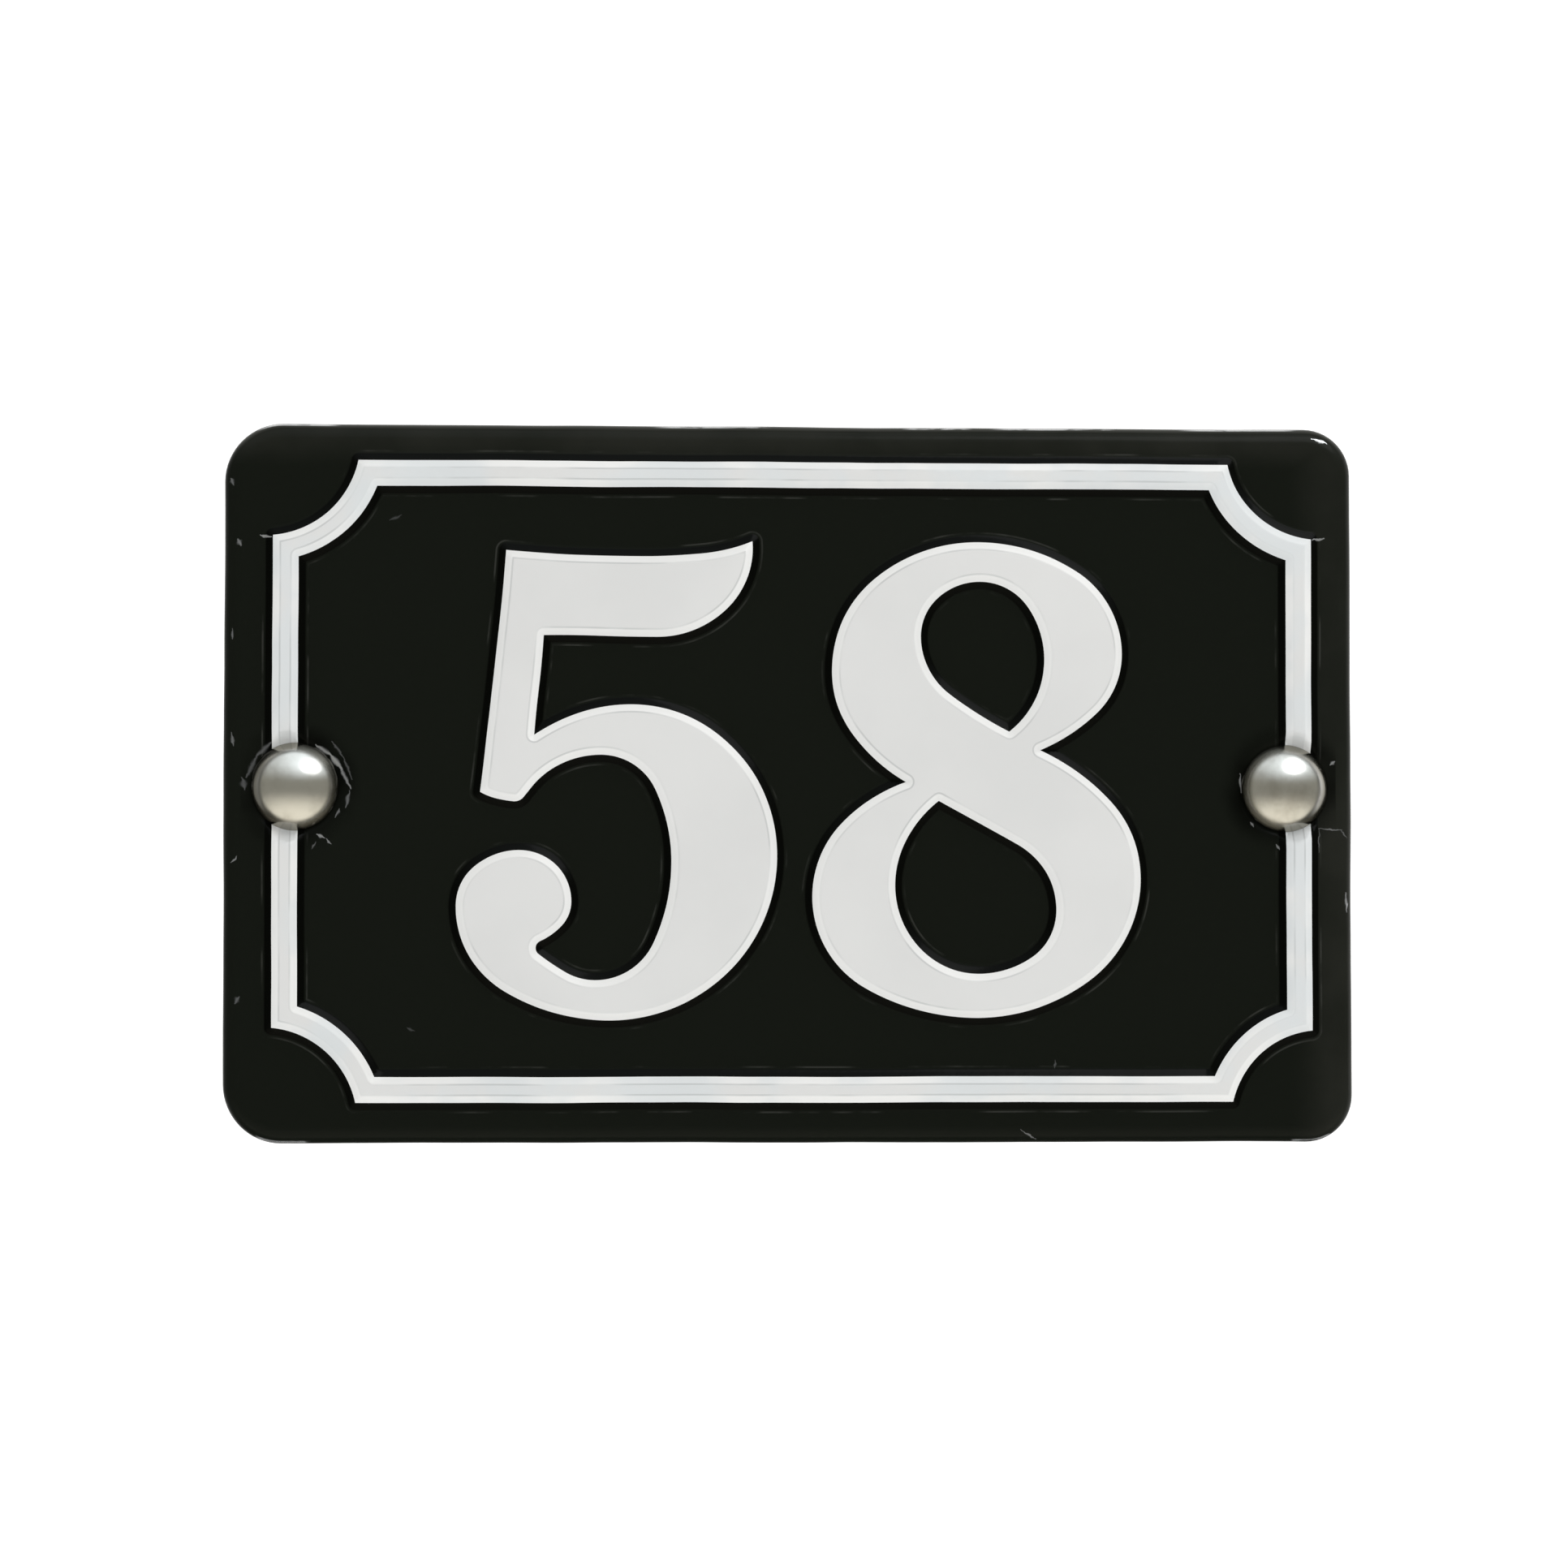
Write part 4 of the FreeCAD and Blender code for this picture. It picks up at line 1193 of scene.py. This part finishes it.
def polished_cap(finishes):
    """Mirror polish gone soft, with smudges, fine wiping marks and painted shade darkening its outer edge."""
    material, wiring, surface = new_material("polished cap")
    place = on_object(wiring)
    smudge = noise(wiring, place, 180.0, 4.0, 0.6)
    parts = wiring.node("ShaderNodeSeparateXYZ", {0: place}).outputs
    across = wiring.math("SUBTRACT", wiring.math("ABSOLUTE", parts[0]), SCREW_X)
    squares = wiring.math("ADD", wiring.math("POWER", across, 2.0), wiring.math("POWER", parts[2], 2.0))
    from_axis = wiring.math("SQRT", squares)
    cleaned = blended(wiring, wiring.span(smudge, 0.4, 0.75), opaque(finishes.cap), (0.62, 0.60, 0.57, 1.0))
    # Painted shade: the outer edge of each cap is darkened, where it reflects the black field
    edge_shade = wiring.span(from_axis, 4.4 * MM, 5.4 * MM)
    wiring.feed(surface["Base Color"], blended(wiring, edge_shade, cleaned, CAP_EDGE_SHADE))
    surface["Metallic"].default_value = 1.0
    wiring.feed(surface["Roughness"], wiring.span(smudge, 0.3, 0.7, 0.16, 0.24))
    uneven = bumped(wiring, noise(wiring, place, 260.0, 2.0), 0.00006, 0.7)
    wiring.feed(surface["Normal"], bumped(wiring, noise(wiring, place, 900.0, 3.0), 0.00001, 0.5, uneven))
    return material


# Pieces

STUD_THREAD_DEPTH = 0.25 * MM
CAP_EDGE_CHAMFER = 0.06 * MM


def lathed(name, profile, middle_x, count=96):
    """Turns a profile of (radius, depth) round an axis along Y; radius 0 is a pole."""
    shape = bmesh.new()
    rows = []
    for radius, depth in profile:
        if radius == 0:
            rows.append([shape.verts.new((middle_x, depth, 0.0))])
            continue
        turns = [math.tau * step / count for step in range(count)]
        rows.append([
            shape.verts.new((middle_x + radius * math.cos(turn), depth, radius * math.sin(turn)))
            for turn in turns
        ])
    for row, following in zip(rows, rows[1:]):
        for step in range(count):
            after = (step + 1) % count
            corners = [row[step % len(row)], row[after % len(row)]]
            corners += [following[after % len(following)], following[step % len(following)]]
            distinct = list(dict.fromkeys(corners))
            if len(distinct) > 2:
                shape.faces.new(distinct)
    bmesh.ops.recalc_face_normals(shape, faces=shape.faces)
    mesh = bpy.data.meshes.new(name)
    shape.to_mesh(mesh)
    shape.free()
    return mesh


class PLAQUE_OT_press_plate(bpy.types.Operator):
    """Press the plate with its border, its numerals and its rolled rim"""

    bl_idname = "plaque.press_plate"
    bl_label = "Press plate"

    def execute(self, context):
        sizes = context.scene.plaque_plate
        finishes = context.scene.plaque_finishes
        plate = new_piece("pressed_plate", blank_mesh(sizes))
        run_tree(plate, press_tree(), sizes, {
            "Black": black_lacquer(finishes),
            "White": white_lacquer(finishes),
            "Bare": rolled_aluminium(finishes),
        })
        stand_for(plate, "plate", 50)
        return {"FINISHED"}


class PLAQUE_OT_turn_screws(bpy.types.Operator):
    """Turn the two countersunk wood screws and wind their threads"""

    bl_idname = "plaque.turn_screws"
    bl_label = "Turn screws"

    def execute(self, context):
        sizes = context.scene.plaque_fixings
        material = zinc_plate(context.scene.plaque_finishes)
        top = SCREW_LOW.y
        tip = SCREW_HIGH.y
        shoulder = top + sizes.head_radius - sizes.shank_radius
        neck = sizes.thread_start + sizes.shank_radius - sizes.core_radius
        profile = [
            (0, top + sizes.tapped_depth),
            (sizes.tapped_radius, top + sizes.tapped_depth),
            (sizes.tapped_radius, top),
            (sizes.head_radius, top),
            (sizes.shank_radius, shoulder),
            (sizes.shank_radius, sizes.thread_start),
            (sizes.core_radius, neck),
            (sizes.core_radius, tip - sizes.point_length),
            (0, tip),
        ]
        tree = thread_tree()
        for side, place in zip(SIDES, (-SCREW_X, SCREW_X)):
            screw = new_piece(f"{side}_mirror_screw", lathed(f"{side}_screw_core", profile, place, 64))
            self.cut_slot(screw, place, sizes)
            run_tree(screw, tree, sizes, {
                "Depth": sizes.shank_radius - sizes.core_radius,
                "Pitch": sizes.thread_pitch,
                "Start": neck,
                "End": tip,
                "Place": place,
                "Material": material,
            })
            stand_for(screw, f"{side}_screw", 35)
        return {"FINISHED"}

    def cut_slot(self, screw, place, sizes):
        """Cuts the driver's slot across the head."""
        cutter_mesh = bpy.data.meshes.new("slot")
        shape = bmesh.new()
        bmesh.ops.create_cube(shape, size=1.0)
        for corner in shape.verts:
            corner.co.x = place + corner.co.x * 3 * sizes.head_radius
            corner.co.y = SCREW_LOW.y + corner.co.y * 2 * sizes.slot_depth
            corner.co.z *= sizes.slot_width
        shape.to_mesh(cutter_mesh)
        shape.free()
        cutter = new_piece("slot_cutter", cutter_mesh)
        cut = screw.modifiers.new("slot", "BOOLEAN")
        cut.operation = "DIFFERENCE"
        cut.solver = "EXACT"
        cut.object = cutter
        keep_result(screw)
        bpy.data.objects.remove(cutter)


class PLAQUE_OT_turn_caps(bpy.types.Operator):
    """Turn the two polished domes with their threaded studs"""

    bl_idname = "plaque.turn_caps"
    bl_label = "Turn caps"

    def execute(self, context):
        sizes = context.scene.plaque_fixings
        material = polished_cap(context.scene.plaque_finishes)
        top = CAP_LOW.y
        seat = top + sizes.cap_height
        end = CAP_HIGH.y
        rise = sizes.cap_height - sizes.cap_edge
        ball = (CAP_RADIUS ** 2 + rise ** 2) / (2 * rise)
        sweep = math.asin(CAP_RADIUS / ball)
        count = 28
        root = sizes.stud_radius - STUD_THREAD_DEPTH
        profile = [(0, top)]
        for step in range(1, count + 1):
            turn = sweep * step / count
            profile.append((ball * math.sin(turn), top + ball * (1 - math.cos(turn))))
        profile += [
            (CAP_RADIUS, seat - CAP_EDGE_CHAMFER),
            (CAP_RADIUS - CAP_EDGE_CHAMFER, seat),
            (root, seat),
            (root, end - sizes.stud_chamfer),
            (root - sizes.stud_chamfer / 2, end),
            (0, end),
        ]
        tree = thread_tree()
        for side, place in zip(SIDES, (-SCREW_X, SCREW_X)):
            cap = new_piece(f"{side}_domed_cap", lathed(f"{side}_cap_body", profile, place, 96))
            run_tree(cap, tree, sizes, {
                "Core radius": root,
                "Depth": sizes.stud_radius - root,
                "Pitch": sizes.stud_pitch,
                "Start": seat,
                "End": end - sizes.stud_chamfer / 2,
                "Point length": sizes.stud_chamfer,
                "Place": place,
                "Material": material,
            })
            stand_for(cap, f"{side}_cap", 35)
        return {"FINISHED"}


class PLAQUE_OT_set_studio(bpy.types.Operator):
    """Set the floor, the soft lights and the camera"""

    bl_idname = "plaque.set_studio"
    bl_label = "Set studio"

    def execute(self, context):
        studio = context.scene.plaque_studio
        self.lay_floor(studio)
        self.light_world(context.scene)
        self.hang_window()
        self.set_camera(context.scene, studio)
        context.scene.view_settings.view_transform = "Standard"
        return {"FINISHED"}

    def lay_floor(self, studio):
        """Pale floor that sweeps up behind into a backdrop."""
        near, far, high, side, bend = -1.5, 1.3, 1.6, 2.2, 0.5
        floor = -studio.floor_drop
        profile = [(near, floor), (far - bend, floor)]
        for step in range(1, 13):
            turn = math.pi / 2 * step / 12
            profile.append((far - bend + bend * math.sin(turn), floor + bend * (1 - math.cos(turn))))
        profile.append((far, high))
        corners = [(across, *point) for point in profile for across in (-side, side)]
        faces = [(row, row + 1, row + 3, row + 2) for row in range(0, len(corners) - 2, 2)]
        mesh = bpy.data.meshes.new("sweep")
        mesh.from_pydata(corners, [], faces)
        mesh.shade_smooth()
        material, wiring, surface = new_material("pale sweep")
        surface["Base Color"].default_value = (0.9, 0.9, 0.9, 1.0)
        surface["Roughness"].default_value = 0.9
        surface["Emission Color"].default_value = (1.0, 1.0, 1.0, 1.0)
        surface["Emission Strength"].default_value = 0.35
        mesh.materials.append(material)
        sweep = new_piece("pale_sweep", mesh)
        # Polished surfaces reflect the plain room instead
        sweep.visible_glossy = False

    def light_world(self, scene):
        """Even light on dull surfaces, and a plain room for polished ones to reflect.

        The room is bright above, darker level with the plate, warm below, dark
        where it meets the plane of the plate and bright again behind it.
        """
        world = bpy.data.worlds.new("soft studio")
        world.use_nodes = True
        world.node_tree.nodes.clear()
        wiring = Wiring(world.node_tree)
        direction = wiring.node("ShaderNodeTexCoord").outputs["Generated"]
        across, behind, up = wiring.node("ShaderNodeSeparateXYZ", {0: direction}).outputs
        to_right = wiring.span(across, -0.9, 0.35, 0.40, 1.0)
        to_window = wiring.times(wiring.span(up, 0.18, 0.85), to_right)
        to_ground = wiring.span(wiring.times(up, -1.0), 0.08, 0.98)
        level = blended(wiring, to_window, LEVEL_GLOW, WINDOW_GLOW)
        ahead = blended(wiring, to_ground, level, GROUND_GLOW)
        beside_plate = wiring.span(wiring.times(behind, -1.0), 0.16, 0.0)
        edged = blended(wiring, beside_plate, ahead, EDGE_GLOW)
        high_behind = wiring.times(wiring.span(behind, 0.0, 0.12), wiring.span(up, -0.75, -0.25))
        to_wall = wiring.times(high_behind, wiring.span(across, -0.95, -0.5, 0.35, 1.0))
        room = blended(wiring, to_wall, edged, WALL_GLOW)
        rays = wiring.node("ShaderNodeLightPath").outputs
        lit = blended(wiring, rays["Is Diffuse Ray"], room, DULL_LIGHT)
        shown = blended(wiring, rays["Is Camera Ray"], lit, BACKDROP)
        glow = wiring.node("ShaderNodeBackground", {"Color": shown, "Strength": 1.0})
        output = wiring.node("ShaderNodeOutputWorld")
        wiring.tree.links.new(glow.outputs[0], output.inputs["Surface"])
        scene.world = world

    def hang_window(self):
        """Soft light above the right shoulder, turned to the origin."""
        lamp = bpy.data.lights.new("window", "AREA")
        lamp.shape = "ELLIPSE"
        lamp.size = 0.50
        lamp.size_y = 0.36
        lamp.energy = 0.8
        place = Vector((0.26, -0.30, 0.43))
        holder = new_piece("window", lamp)
        holder.location = place
        holder.rotation_euler = (-place).to_track_quat("-Z", "Y").to_euler()

    def set_camera(self, scene, studio):
        lens = bpy.data.cameras.new("camera")
        lens.sensor_width = 36.0
        lens.lens = lens.sensor_width * studio.distance / studio.view_width
        camera = new_piece("camera", lens)
        aim = Vector((studio.aim_x, PLATE_LOW.y, studio.aim_z))
        away = Vector((
            math.sin(studio.azimuth) * math.cos(studio.elevation),
            -math.cos(studio.azimuth) * math.cos(studio.elevation),
            math.sin(studio.elevation),
        ))
        camera.location = aim + away * studio.distance
        camera.rotation_euler = (-away).to_track_quat("-Z", "Y").to_euler()
        scene.camera = camera


class PLAQUE_PT_build(bpy.types.Panel):
    """Buttons that build the plaque and its studio"""

    bl_label = "House number plaque"
    bl_idname = "PLAQUE_PT_build"
    bl_space_type = "VIEW_3D"
    bl_region_type = "UI"
    bl_category = "Plaque"

    def draw(self, context):
        for operator in OPERATORS:
            self.layout.operator(operator.bl_idname)


GROUPS = {
    "plaque_plate": PlaquePlateSizes,
    "plaque_fixings": PlaqueFixingSizes,
    "plaque_finishes": PlaqueFinishes,
    "plaque_studio": PlaqueStudio,
}
OPERATORS = (
    PLAQUE_OT_press_plate,
    PLAQUE_OT_turn_screws,
    PLAQUE_OT_turn_caps,
    PLAQUE_OT_set_studio,
)


def register():
    for kind in (*GROUPS.values(), *OPERATORS, PLAQUE_PT_build):
        bpy.utils.register_class(kind)
    for name, group in GROUPS.items():
        setattr(bpy.types.Scene, name, PointerProperty(type=group))


def unregister():
    for name in GROUPS:
        delattr(bpy.types.Scene, name)
    for kind in (PLAQUE_PT_build, *OPERATORS[::-1], *GROUPS.values()):
        bpy.utils.unregister_class(kind)


def main():
    register()
    bpy.ops.plaque.press_plate()
    bpy.ops.plaque.turn_screws()
    bpy.ops.plaque.turn_caps()
    bpy.ops.plaque.set_studio()


if __name__ == "__main__":
    main()
